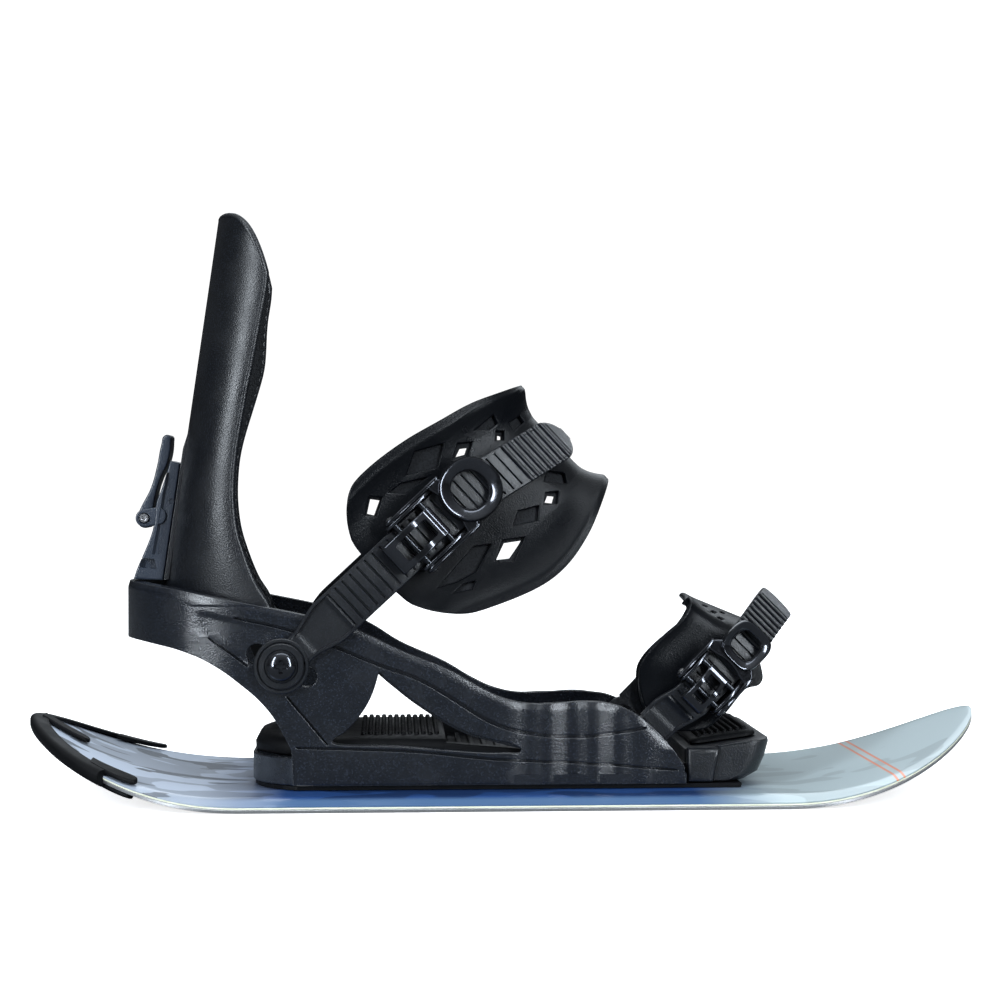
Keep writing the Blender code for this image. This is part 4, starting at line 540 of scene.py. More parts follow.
def sliced(bm, axis, places):
    """Adds a cut across the mesh at each place, so that it can bend there."""
    way = Vector((0, 0, 0))
    way[axis] = 1.0

    def cut(faces, places):
        if not places:
            return
        middle = len(places) // 2
        place = places[middle]
        below, above, near = [], [], []
        for face in faces:
            sides = [vert.co[axis] - place for vert in face.verts]
            if max(sides) <= 0.0:
                below.append(face)
            elif min(sides) >= 0.0:
                above.append(face)
            else:
                near.append(face)
        edges = {edge for face in near for edge in face.edges}
        verts = {vert for face in near for vert in face.verts}
        made = bmesh.ops.bisect_plane(
            bm, geom=[*verts, *edges, *near], dist=0.0000005, plane_co=way * place, plane_no=way
        )
        for face in made["geom"]:
            if isinstance(face, bmesh.types.BMFace):
                inside = face.calc_center_median()[axis] < place
                (below if inside else above).append(face)
        cut(below, places[:middle])
        cut(above, places[middle + 1 :])

    cut(list(bm.faces), sorted(places))
    return bm


def steps_between(first, last, step):
    count = max(1, round(abs(last - first) / step))
    return [first + (last - first) * i / count for i in range(count + 1)]


def mapped(bm, rule):
    """Moves every vertex by a rule."""
    for vert in bm.verts:
        vert.co = rule(vert.co)
    return bm


def together(*meshes):
    """One mesh from several, which are used up."""
    whole = bmesh.new()
    for bm in meshes:
        mesh = bpy.data.meshes.new("part")
        bm.to_mesh(mesh)
        bm.free()
        whole.from_mesh(mesh)
        bpy.data.meshes.remove(mesh)
    return whole


def skin(rings, closed=False):
    """Surface through rings of equal point count, each closed on itself."""
    bm = bmesh.new()
    rows = [[bm.verts.new(point) for point in ring] for ring in rings]
    count = len(rows[0])
    pairs = list(zip(rows, rows[1:]))
    if closed:
        pairs.append((rows[-1], rows[0]))
    for first, second in pairs:
        for i in range(count):
            j = (i + 1) % count
            bm.faces.new((first[i], first[j], second[j], second[i]))
    if not closed:
        bm.faces.new(list(reversed(rows[0])))
        bm.faces.new(rows[-1])
    bmesh.ops.recalc_face_normals(bm, faces=bm.faces)
    return bm


def turned(profile, matrix, steps=48, ring=False):
    """Turned shape. Its profile of (radius, height) points runs from axis to axis, or round a ring."""
    bm = bmesh.new()
    rows = []
    for i in range(steps):
        turn = Matrix.Rotation(2 * math.pi * i / steps, 3, "Z")
        rows.append([bm.verts.new(turn @ Vector((radius, 0.0, height))) for radius, height in profile])
    count = len(profile)
    for first, second in zip(rows, rows[1:] + rows[:1]):
        for i in range(count if ring else count - 1):
            j = (i + 1) % count
            bm.faces.new((first[i], first[j], second[j], second[i]))
    bmesh.ops.remove_doubles(bm, verts=bm.verts, dist=0.000005)
    bmesh.ops.recalc_face_normals(bm, faces=bm.faces)
    bmesh.ops.transform(bm, matrix=matrix, verts=bm.verts)
    return bm


def both_ends(profile):
    """Profile of a pin from that of its upper half."""
    return profile + [(radius, -height) for radius, height in reversed(profile)]


def carved(bm, tool):
    """The first mesh with the second cut out of it. Both are used up."""
    pair = []
    for one in (bm, tool):
        mesh = bpy.data.meshes.new("blank")
        one.to_mesh(mesh)
        one.free()
        blank = bpy.data.objects.new("blank", mesh)
        bpy.context.scene.collection.objects.link(blank)
        pair.append(blank)
    body, cutter = pair
    step = body.modifiers.new("cut", "BOOLEAN")
    step.operation = "DIFFERENCE"
    step.solver = "EXACT"
    step.object = cutter
    seen = body.evaluated_get(bpy.context.evaluated_depsgraph_get())
    made = bmesh.new()
    made.from_mesh(seen.to_mesh())
    seen.to_mesh_clear()
    for blank in pair:
        mesh = blank.data
        bpy.data.objects.remove(blank)
        bpy.data.meshes.remove(mesh)
    bmesh.ops.remove_doubles(made, verts=made.verts, dist=0.000005)
    return made


def moved(bm, matrix):
    bmesh.ops.transform(bm, matrix=matrix, verts=bm.verts)
    return bm


def upright(bm, y_middle=0.0):
    """Turns a flat X-Z outline plate so that it stands, its depth along Y."""
    return moved(bm, Matrix.Translation((0, y_middle, 0)) @ Matrix.Rotation(math.pi / 2, 4, "X"))


def facing_side(x, y, z, side):
    """Placement of a turned piece whose +Z points out of the near (-1) or far (+1) side."""
    return Matrix.Translation((x, y, z)) @ Matrix.Rotation(-side * math.pi / 2, 4, "X")


def blend(start, end, share):
    """From start to end, easing in and out, as the share goes from 0 to 1."""
    share = min(1.0, max(0.0, share))
    return start + (end - start) * share * share * (3 - 2 * share)


def smooth_read(table, place):
    """Value of a table of (place, value) points, on a smooth curve through them."""
    places = [row[0] for row in table]
    index = min(max(1, bisect.bisect_left(places, place)), len(table) - 1)
    (x0, y0), (x1, y1) = table[index - 1], table[index]
    before = table[max(0, index - 2)]
    after = table[min(len(table) - 1, index + 1)]
    slope0 = (y1 - before[1]) / (x1 - before[0])
    slope1 = (after[1] - y0) / (after[0] - x0)
    share = min(1.0, max(0.0, (place - x0) / (x1 - x0)))
    width = x1 - x0
    cube, square = share**3, share**2
    return (
        (2 * cube - 3 * square + 1) * y0
        + (cube - 2 * square + share) * width * slope0
        + (3 * square - 2 * cube) * y1
        + (cube - square) * width * slope1
    )


# Board


def rise(x):
    """Height of the running surface above the floor."""
    reach = max(0.0, x - NOSE_BEND_START, TAIL_BEND_START - x)
    return BEND_RADIUS - math.sqrt(BEND_RADIUS**2 - reach**2)


def tip_point(angle, taper_start, tip):
    """Point (x, half width) of a tip's outline, from the taper's start at 0 to the tip at a right angle."""
    power = 2 / TAPER_POWER
    return (
        taper_start + (tip - taper_start) * math.sin(angle) ** power,
        BOARD_HALF_WIDTH * math.cos(angle) ** power,
    )


def side_points(inset):
    """Points (x, half width) of the board's outline from tail to nose, moved inwards by the inset."""
    small = 0.001
    tip_steps = 34
    runs = []
    for taper_start, tip in ((TAIL_TAPER_START, TAIL_TIP), (NOSE_TAPER_START, NOSE_TIP)):
        run = []
        for i in range(1, tip_steps):
            angle = math.pi / 2 * i / tip_steps
            x, y = tip_point(angle, taper_start, tip)
            x0, y0 = tip_point(angle - small, taper_start, tip)
            x1, y1 = tip_point(angle + small, taper_start, tip)
            normal = Vector((y0 - y1, x1 - x0)).normalized()
            if tip < 0:
                normal.negate()
            run.append((x - inset * normal.x, y - inset * normal.y))
        runs.append(run)
    straight = steps_between(TAIL_TAPER_START, NOSE_TAPER_START, 0.004)
    middle = [(x, BOARD_HALF_WIDTH - inset) for x in straight]
    tail, nose = runs
    return [(TAIL_TIP + inset, 0.0)] + tail[::-1] + middle + nose + [(NOSE_TIP - inset, 0.0)]


def cap_height(x, from_edge):
    """Height of the top of the board above its running surface."""
    share = 0.0
    if x > NOSE_BEND_START:
        share = (x - NOSE_BEND_START) / (NOSE_TIP - NOSE_BEND_START)
    elif x < TAIL_BEND_START:
        share = (TAIL_BEND_START - x) / (TAIL_BEND_START - TAIL_TIP)
    middle = CAP_MIDDLE_HEIGHT + (CAP_TIP_HEIGHT - CAP_MIDDLE_HEIGHT) * min(1.0, 1.4 * share)
    slope = min(1.0, from_edge / CAP_SHOULDER_WIDTH)
    return CAP_EDGE_HEIGHT + (middle - CAP_EDGE_HEIGHT) * math.sin(slope * math.pi / 2) ** 1.15


BOARD_SIDE = side_points(0.0)


def half_width_at(x):
    """Half width of the board at any station along it."""
    for (x0, half0), (x1, half1) in zip(BOARD_SIDE, BOARD_SIDE[1:]):
        if x <= x1:
            return half0 + (half1 - half0) * (x - x0) / (x1 - x0)
    return 0.0


def top_height(x, y):
    return rise(x) + cap_height(x, half_width_at(x) - abs(y))


def board_layer(inset, low, high, rows):
    """Board layer between two height rules. Rows are distances in from the layer's own edge."""
    points = side_points(inset)
    across = [(-1, d) for d in rows] + [(1, d) for d in reversed(rows)]
    bm = bmesh.new()
    sheets = []
    for rule in (low, high):
        grid = []
        for x, half in points:
            row = []
            for side, distance in across:
                reach = max(0.0, half - distance * min(1.0, half / 0.03))
                height = rise(x) + rule(x, inset + half - reach)
                row.append(bm.verts.new((x, side * reach, height)))
            grid.append(row)
        sheets.append(grid)
    under, over = sheets
    for i in range(len(points) - 1):
        for j in range(len(across) - 1):
            bm.faces.new((over[i][j], over[i + 1][j], over[i + 1][j + 1], over[i][j + 1]))
            bm.faces.new((under[i][j], under[i][j + 1], under[i + 1][j + 1], under[i + 1][j]))
        for j in (0, len(across) - 1):
            bm.faces.new((under[i][j], under[i + 1][j], over[i + 1][j], over[i][j]))
    bmesh.ops.remove_doubles(bm, verts=bm.verts, dist=0.000005)
    bmesh.ops.recalc_face_normals(bm, faces=bm.faces)
    return bm


class SkiboardBoard(bpy.types.Operator):
    """The board's four layers and the brass inserts"""

    bl_idname = "skiboard.board"
    bl_label = "Board"

    def execute(self, context):
        rows = (0.0, 0.0004, 0.001, 0.002, 0.0032, 0.0046, 0.0062, 0.008, 0.01, 0.02, 0.045)
        base = board_layer(EDGE_WIDTH + LAYER_GAP, lambda x, d: 0.0, lambda x, d: EDGE_HEIGHT, (0.0, 0.03))
        piece("base_sheet_fine", base, "board_base", "base", ["base_sheet"])
        piece("steel_edge_fine", steel_edge(), "edge_steel", "base", ["steel_edge"])
        core_low = EDGE_HEIGHT + LAYER_GAP
        under_sheet = TOPSHEET_THICKNESS + LAYER_GAP
        core = board_layer(0.0, lambda x, d: core_low, lambda x, d: cap_height(x, d) - under_sheet, rows)
        piece("ski_core_fine", core, "core", "base", ["ski_core"])
        sheet = board_layer(0.0, lambda x, d: cap_height(x, d) - TOPSHEET_THICKNESS, cap_height, rows)
        piece("topsheet_fine", sheet, "topsheet", "base", ["topsheet"])
        for number in range(1, 5):
            dressed(f"insert_{number}", "brass")
        return {"FINISHED"}


def steel_edge():
    """Steel edge all round, with its outer corners broken."""
    corner = 0.0002
    loop = [(Vector(outer), Vector(inner)) for outer, inner in zip(BOARD_SIDE, side_points(EDGE_WIDTH))]
    sections = []
    for side in (-1, 1):
        for outer, inner in loop if side < 0 else loop[::-1][1:-1]:
            near = outer.lerp(inner, corner / EDGE_WIDTH)
            levels = ((near, 0.0), (outer, corner), (outer, EDGE_HEIGHT - corner))
            levels += ((near, EDGE_HEIGHT), (inner, EDGE_HEIGHT), (inner, 0.0))
            sections.append([(spot.x, side * spot.y, rise(spot.x) + level) for spot, level in levels])
    return skin(sections, closed=True)


# Tail bumper


def rounded_ring(points):
    """Closed ring of points with its corners cut twice."""
    for _ in range(2):
        smoother = []
        for before, after in zip(points, points[1:] + points[:1]):
            smoother += [before.lerp(after, 0.22), before.lerp(after, 0.78)]
        points = smoother
    return points


def bumper_section(x, half, side, normal):
    """Section that clasps the board's edge."""
    low = rise(x)
    high = low + cap_height(x, 0.0)
    inner_x, inner_y = x + normal[0] * GAP, half + normal[1] * GAP
    out_x, out_y = x + normal[0] * BUMPER_WALL, half + normal[1] * BUMPER_WALL
    lip_x, lip_y = x - normal[0] * BUMPER_LIP, half - normal[1] * BUMPER_LIP
    lip_low = rise(lip_x)
    lip_high = lip_low + cap_height(lip_x, BUMPER_LIP) + BUMPER_PLAY
    top = BUMPER_LIP_THICKNESS
    return [
        Vector((out_x, side * out_y, low - top * 0.4)),
        Vector((out_x, side * out_y, high + top)),
        Vector((lip_x, side * lip_y, lip_high + top)),
        Vector((lip_x, side * lip_y, lip_high + GAP)),
        Vector((inner_x, side * inner_y, high + GAP)),
        Vector((inner_x, side * inner_y, low - GAP)),
        Vector((lip_x, side * lip_y, lip_low - GAP - BUMPER_PLAY)),
        Vector((lip_x, side * lip_y, lip_low - BUMPER_LIP_THICKNESS * 0.6)),
    ]


def rubber_tab(start, end, middle, half_width, under=False):
    """Flat tab of the bumper along the board, with a round end. Middle is a rule for its centre line."""
    outline = [
        (start, -half_width),
        *smooth(
            (end - half_width * 0.8, -half_width), (end - half_width * 0.2, -half_width * 0.7),
            (end, 0.0), (end - half_width * 0.2, half_width * 0.7),
            (end - half_width * 0.8, half_width),
        ),
        (start, half_width),
    ]
    bm = plate([outline], 0.0, BUMPER_TAB_THICKNESS, 0.0007)
    sliced(bm, 0, steps_between(start, end, 0.002)[1:-1])

    def rule(co):
        y = co.y + middle(co.x)
        if under:
            return Vector((co.x, y, rise(co.x) - GAP - co.z))
        return Vector((co.x, y, top_height(co.x, y) + GAP + BUMPER_PLAY + co.z))

    mapped(bm, rule)
    bmesh.ops.recalc_face_normals(bm, faces=bm.faces)
    return bm


class SkiboardBumper(bpy.types.Operator):
    """Rubber bumper that clasps the tail"""

    bl_idname = "skiboard.bumper"
    bl_label = "Tail bumper"

    def execute(self, context):
        small = 0.001
        run = []
        for (x, half), (out_x, out_half) in zip(BOARD_SIDE, side_points(-small)):
            if half > BUMPER_HALF_SPAN:
                break
            run.append((x, half, ((out_x - x) / small, (out_half - half) / small)))
        near = [bumper_section(x, half, -1, normal) for x, half, normal in reversed(run)]
        far = [bumper_section(x, half, 1, normal) for x, half, normal in run[1:]]
        wall = skin([rounded_ring(section) for section in near + far])
        leg_half = 0.005
        tabs = []
        for side in (-1, 1):

            def middle(x, side=side):
                return side * (half_width_at(x) - 0.0015 - leg_half)

            tabs.append(rubber_tab(LEG_START, LEG_END, middle, leg_half))
            tabs.append(rubber_tab(LEG_START, LEG_END - 0.002, middle, leg_half, under=True))
        tabs.append(rubber_tab(TONGUE_START, TONGUE_END, lambda x: 0.0, 0.0045))
        piece("tail_bumper_fine", together(wall, *tabs), "black_rubber", "base", ["tail_bumper"], 50)
        return {"FINISHED"}


# Binding base


def hoop_lengths():
    """Distance round the hoop's outer face from the near rail, by angle."""
    steps = 180
    lengths = [0.0]
    for i in range(steps):
        first = -math.pi / 2 + math.pi * i / steps
        second = first + math.pi / steps
        before = Vector((HOOP_DEPTH * math.cos(first), BASE_HALF_WIDTH * math.sin(first)))
        after = Vector((HOOP_DEPTH * math.cos(second), BASE_HALF_WIDTH * math.sin(second)))
        lengths.append(lengths[-1] + (after - before).length)
    return lengths


HOOP_LENGTHS = hoop_lengths()
HOOP_LENGTH = HOOP_LENGTHS[-1]


def along_wall(x, side=-1):
    """Distance along the wall from the near end of the hoop to a place on the near or far side."""
    if x >= HOOP_START:
        straight = x - HOOP_START
    else:
        angle = math.acos(min(1.0, (HOOP_START - x) / HOOP_DEPTH))
        share = (math.pi / 2 - angle) / math.pi * (len(HOOP_LENGTHS) - 1)
        index = min(int(share), len(HOOP_LENGTHS) - 2)
        before, after = HOOP_LENGTHS[index : index + 2]
        straight = -(before + (after - before) * (share - index))
    return straight if side < 0 else -HOOP_LENGTH - straight


def wall_place(co):
    """Place of a point of the unrolled wall: distance along it, height, distance out of its face."""
    along, height, out = co
    half = BASE_HALF_WIDTH + out
    if along >= 0.0:
        return Vector((HOOP_START + along, -half, height))
    if along <= -HOOP_LENGTH:
        return Vector((HOOP_START - along - HOOP_LENGTH, half, height))
    index = min(max(1, bisect.bisect_left(HOOP_LENGTHS, -along)), len(HOOP_LENGTHS) - 1)
    before, after = HOOP_LENGTHS[index - 1], HOOP_LENGTHS[index]
    share = (index - 1 + (-along - before) / (after - before)) / (len(HOOP_LENGTHS) - 1)
    angle = -math.pi / 2 + math.pi * share
    depth = HOOP_DEPTH + out * HOOP_THICKNESS / RAIL_THICKNESS
    return Vector((HOOP_START - depth * math.cos(angle), half * math.sin(angle), height))


# Side view (x, z) of the top of the rails, from the back of the hoop to the toe
RAIL_TOP = smooth(
    (-0.175, 0.0975), (-0.152, 0.0952), (-0.127, 0.0907), (-0.108, 0.0871), (-0.091, 0.0836),
)
NEAR_RAIL_TOP = RAIL_TOP + smooth(
    (-0.075, 0.08), (-0.062, 0.0742), (-0.05, 0.0684), (-0.0276, 0.0592), (-0.0134, 0.051),
    (-0.0032, 0.0464), (0.0079, 0.044), (0.0213, 0.0443), (0.0346, 0.0448), (0.0445, 0.0437),
    (0.0534, 0.0403), (0.0623, 0.034), (0.0704, 0.0255),
)
FAR_RAIL_TOP = RAIL_TOP + smooth(
    (-0.077, 0.0802), (-0.062, 0.0727), (-0.05, 0.0651), (-0.0276, 0.0549), (-0.0134, 0.0466),
    (-0.0032, 0.042), (0.0079, 0.0397), (0.0213, 0.0398), (0.0346, 0.0403), (0.0445, 0.0397),
    (0.0534, 0.0381), (0.0623, 0.0335), (0.0704, 0.0255),
)
RAIL_TOE = [(BASE_FRONT - 0.001, 0.016), (BASE_FRONT - 0.0005, BASE_BOTTOM + 0.0005)]
RAIL_BOTTOM = [
    (-0.097, BASE_BOTTOM + 0.0005), (-0.0975, 0.024),
    *smooth(
        (-0.0995, 0.028), (-0.1052, 0.0381), (-0.1113, 0.0456), (-0.12, 0.0532), (-0.1306, 0.0607),
        (-0.1419, 0.0661), (-0.158, 0.07), (-0.175, 0.0716),
    ),
]


def on_wall(points, side=-1):
    """Side view points (x, z) carried over to the unrolled wall."""
    return [(along_wall(point[0], side), *point[1:]) for point in points]


def rail_outline():
    """Both rails and the hoop, unrolled."""
    near = on_wall(NEAR_RAIL_TOP + RAIL_TOE + RAIL_BOTTOM)
    far = on_wall(FAR_RAIL_TOP + RAIL_TOE + RAIL_BOTTOM[:-1], 1)
    return near + far[:0:-1]


def window_outline(margin):
    """Opening in the side of the rail. The margin widens its upper side only."""
    upper = [
        (-0.0596, 0.0577),
        *smooth(
            (-0.0541, 0.0529), (-0.0395, 0.0417), (-0.0209, 0.0309), (-0.0098, 0.0275),
            (0.001, 0.0245),
        ),
    ]
    lower = smooth(
        (0.004, 0.0232), (-0.002, 0.0222), (-0.0497, 0.0253), (-0.079, 0.0268),
        (-0.0795, 0.0279), (-0.074, 0.0322), (-0.0673, 0.0394), (-0.0628, 0.0468),
        (-0.0603, 0.0535),
    )
    return [(x + margin * 0.55, z + margin * 0.85, *kind) for x, z, *kind in upper] + lower


def groove(points, width):
    """Outline of a groove along side view points, drawn out thin at both ends."""
    line = [Vector(point) for point in points]
    lefts, rights = [], []
    for i, point in enumerate(line):
        way = (line[min(i + 1, len(line) - 1)] - line[max(i - 1, 0)]).normalized()
        swell = math.sin(math.pi * i / (len(line) - 1)) ** 0.4
        half = width / 2 * (0.35 + 0.65 * swell)
        across = Vector((-way.y, way.x)) * half
        lefts.append(point + across)
        rights.append(point - across)
    return smooth(*lefts, *rights[::-1])


# Lines of the grooves in the side view (x, z), and how wide each is against the set width
GROOVES = (
    (
        (-0.1227, 0.0827), (-0.099, 0.0773), (-0.0805, 0.0707), (-0.0603, 0.0622), (-0.0409, 0.055),
        (-0.0276, 0.0474), (-0.0112, 0.0371), (-0.0001, 0.0326), (0.0124, 0.0303), (0.028, 0.0293),
        (0.0445, 0.0305), (0.06, 0.0332),
    ),
    ((-0.1343, 0.0738), (-0.1253, 0.0677), (-0.1166, 0.0611)),
    ((-0.0999, 0.0482), (-0.0905, 0.0372), (-0.0815, 0.0262)),
    (
        (-0.0955, 0.0252), (-0.068, 0.0243), (-0.0409, 0.023), (-0.009, 0.0197), (0.0347, 0.0173),
        (0.074, 0.0142),
    ),
)
GROOVE_SHARES = (2.3, 1.5, 1.4, 1.6)


def relief(along, height):
    """How far in the outer face of the wall is set: waves, a seam, a scoop behind the bolt, a round top."""
    reach = along if along > -HOOP_LENGTH / 2 else -HOOP_LENGTH - along
    x = HOOP_START + reach
    waves = blend(0.0, 1.0, (x + 0.005) / 0.02) * blend(1.0, 0.3, (x - 0.046) / 0.014)
    depth = WAVE_HEIGHT * (1 + math.sin(2 * math.pi * x / WAVE_PITCH)) * waves
    if reach > along_wall(-0.1419):
        depth += blend(0.0, 0.0003, (SEAM_HEIGHT - height) / 0.001)
    scoop_high = 0.0774 + (-0.099 - x) * 0.23
    scoop_low = 0.0611 + (-0.1166 - x) * 0.72
    under = blend(0.0, 1.0, (scoop_high - height) / 0.003)
    inside = min(under, blend(0.0, 1.0, (height - scoop_low) / 0.0022))
    ends = blend(0.0, 1.0, (x + 0.139) / 0.0022) * blend(1.0, 0.0, (x + 0.112) / 0.012)
    depth += SCOOP_DEPTH * inside * ends
    top = smooth_read([point[:2] for point in NEAR_RAIL_TOP], x)
    crown = blend(0.0, 1.0, (height - top + CROWN_REACH) / CROWN_REACH)
    return depth + CROWN_DEPTH * crown**2


def strap_slot():
    """Slot in the rail along which the strap bolt can be set."""
    x, z = 0.0109, 0.0049
    return capsule(STRAP_BOLT_X - x, STRAP_BOLT_Z + z, STRAP_BOLT_X + x, STRAP_BOLT_Z - z, 0.0047)


class SkiboardChassis(bpy.types.Operator):
    """Rails, hoop and floor of the binding base"""

    bl_idname = "skiboard.chassis"
    bl_label = "Binding base"

    def execute(self, context):
        sizes = context.scene.skiboard_sizes
        openings = []
        grooves = []
        for side in (-1, 1):
            openings.append(on_wall(strap_slot(), side))
            for line, share in zip(GROOVES, GROOVE_SHARES):
                grooves.append(on_wall(groove(line, sizes.groove_width * share), side))
        windows = []
        for margin in (0.0, WINDOW_STEP):
            windows.append([on_wall(window_outline(margin), side) for side in (-1, 1)])
        outer = plate([rail_outline(), *openings, *windows[1], *grooves], -WALL_SKIN, 0.0, 0.00035)
        inner = plate([rail_outline(), *openings, *windows[0]], -RAIL_THICKNESS, -sizes.groove_depth, 0.00025)
        rail_reach = BASE_FRONT - HOOP_START
        for wall, step in ((outer, 0.0015), (inner, 0.003)):
            sliced(wall, 0, steps_between(-HOOP_LENGTH - rail_reach, rail_reach, 0.003))
            sliced(wall, 1, steps_between(BASE_BOTTOM, 0.098, step))

        def carved_place(co):
            depth = relief(co.x, co.y) if co.z > -RAIL_THICKNESS / 2 else 0.0
            return wall_place((co.x, co.y, co.z - depth))

        walls = [mapped(outer, carved_place), mapped(inner, carved_place)]
        disc_hole = circle(0, 0, DISC_RADIUS + GAP, 64)
        floor = plate([heel_outline(0.0006, BASE_FRONT), disc_hole], BASE_BOTTOM, FLOOR_TOP)
        heel = plate([heel_wall()], BASE_BOTTOM, SLAB_HEEL_TOP, 0.0006)
        bm = together(*walls, floor, heel)
        piece("chassis_fine", bm, "grained_nylon", "base", ["chassis"], 40)
        dressed("base_gasket", "black_rubber")
        dressed("mounting_disc", "black_nylon", 0.0003)
        for number in range(1, 5):
            dressed(f"disc_screw_{number}", "bright_steel")
        return {"FINISHED"}


def heel_outline(inset, front, half_limit=BASE_HALF_WIDTH):
    """Base outline with a rounded heel, moved inwards, cut straight at the front."""
    radius = HEEL_CORNER_RADIUS - inset
    heel = BASE_HEEL + inset
    half = min(half_limit, BASE_HALF_WIDTH) - inset
    corner = []
    for angle in steps_between(0.0, math.pi / 2, math.radians(90 / 14)):
        corner.append((heel + radius - radius * math.cos(angle), half - radius + radius * math.sin(angle)))
    far = corner + [(front, half)]
    return [(x, -y) for x, y in reversed(far)] + far


def heel_wall():
    """Low wall round the heel, under the hoop."""
    front = -0.0965
    outer = [(x, y) for x, y in heel_outline(0.0, front) if x <= front]
    inner = [(x, y) for x, y in heel_outline(RAIL_THICKNESS, front) if x <= front]
    return outer + inner[::-1]


# Footbeds


def domed(plan, levels, height=lambda x, level: level):
    """Closed form from outlines of a plan. A level is the outline's inset and its height."""
    rings = [[Vector((x, y, height(x, level))) for x, y in plan(inset)] for inset, level in levels]
    return skin(rings)


def rounded_plan(x0, x1, half, radius, steps=6):
    """Rule for a rectangle with round corners, moved inwards."""

    def plan(inset):
        round_off = max(0.0005, radius - inset)
        corners = ((x0, -half, 180), (x1, -half, 270), (x1, half, 0), (x0, half, 90))
        points = []
        for x, y, start in corners:
            middle_x = x + (inset + round_off) * (1 if x == x0 else -1)
            middle_y = y + (inset + round_off) * (1 if y < 0 else -1)
            for i in range(steps + 1):
                angle = math.radians(start + 90 * i / steps)
                reach_x, reach_y = round_off * math.cos(angle), round_off * math.sin(angle)
                points.append((middle_x + reach_x, middle_y + reach_y))
        return points

    return plan


def studs(x0, x1, half, pitch, radius, high, floor):
    """Rows of small rubber studs. Floor is a rule for the height that they stand on."""
    points = []
    for i, x in enumerate(steps_between(x0, x1, pitch)):
        for y in steps_between(-half, half, pitch):
            points.append((x, y + (pitch / 2 if i % 2 else 0.0)))
    sunk = -0.0002
    profile = [(0.0, high), (radius * 0.6, high), (radius * 0.85, high * 0.7), (radius, sunk), (0.0, sunk)]
    return [turned(profile, Matrix.Translation((x, y, floor(x))), 8) for x, y in points]


class SkiboardFootbeds(bpy.types.Operator):
    """Rubber footbeds"""

    bl_idname = "skiboard.footbeds"
    bl_label = "Footbeds"

    def execute(self, context):
        def plan(inset):
            return heel_outline(inset, HEEL_PAD_FRONT - inset * 0.5, PAD_HALF_WIDTH)

        seat = SLAB_HEEL_TOP + GAP
        levels = [(0.0014, seat), (0.0008, seat + 0.0006), (0.0006, seat + 0.0035)]
        drops = ((0.0014, 0.003), (0.0026, 0.0014), (0.005, 0.0004), (0.0085, 0.0))
        levels += [(inset, HEEL_PAD_TOP - drop) for inset, drop in drops]
        body = domed(plan, levels)
        plug = plate([heel_outline(0.008, -0.044, PAD_HALF_WIDTH)], FLOOR_TOP + GAP, seat + 0.001, 0.0005)
        rows = studs(-0.066, HEEL_PAD_FRONT - 0.005, 0.035, 0.0029, 0.0012, 0.0012, lambda x: HEEL_PAD_TOP)
        heel = together(body, plug, *rows)
        pad = piece("heel_footbed_fine", heel, "black_rubber", "base", ["heel_footbed"], 45)
        low = FLOOR_TOP + GAP + DISC_FLANGE_THICKNESS + GAP
        high = low + FRONT_PAD_THICKNESS
        plan = rounded_plan(HEEL_PAD_FRONT + 0.0004, FRONT_PAD_FRONT, PAD_HALF_WIDTH, 0.003)
        levels = [(0.0006, low), (0.0, low + 0.0006), (0.0, high - 0.001), (0.0004, high - 0.0004)]
        body = domed(plan, [*levels, (0.0012, high)])
        ribs = []
        for x in steps_between(HEEL_PAD_FRONT + 0.006, FRONT_PAD_FRONT - 0.006, 0.0058):
            rib = rounded_plan(x - 0.0013, x + 0.0013, PAD_HALF_WIDTH - 0.008, 0.0012)
            ribs.append(domed(rib, [(0.0, high - 0.0002), (0.0001, high + 0.0007), (0.0006, high + 0.0011)]))
        back, front = HEEL_PAD_FRONT - 0.002, 0.03
        for side in (-1, 1):
            sill = [(back, 0.0262), (back, high - 0.001), (front, high - 0.001), (front, high + 0.001)]
            strip = plate([sill], -0.003, 0.003, 0.0008)
            ribs.append(upright(strip, side * (PAD_HALF_WIDTH - 0.0032)))
        front_bed = together(body, *ribs)
        pad = piece("front_footbed_fine", front_bed, "black_rubber", "base", ["front_footbed"], 45)
        return {"FINISHED"}


def ramp_top(x):
    """Height of the toe ramp's slope."""
    share = (x - BASE_FRONT) / (RAMP_FRONT - BASE_FRONT)
    return RAMP_BACK_TOP + (RAMP_EDGE_TOP - RAMP_BACK_TOP) * share


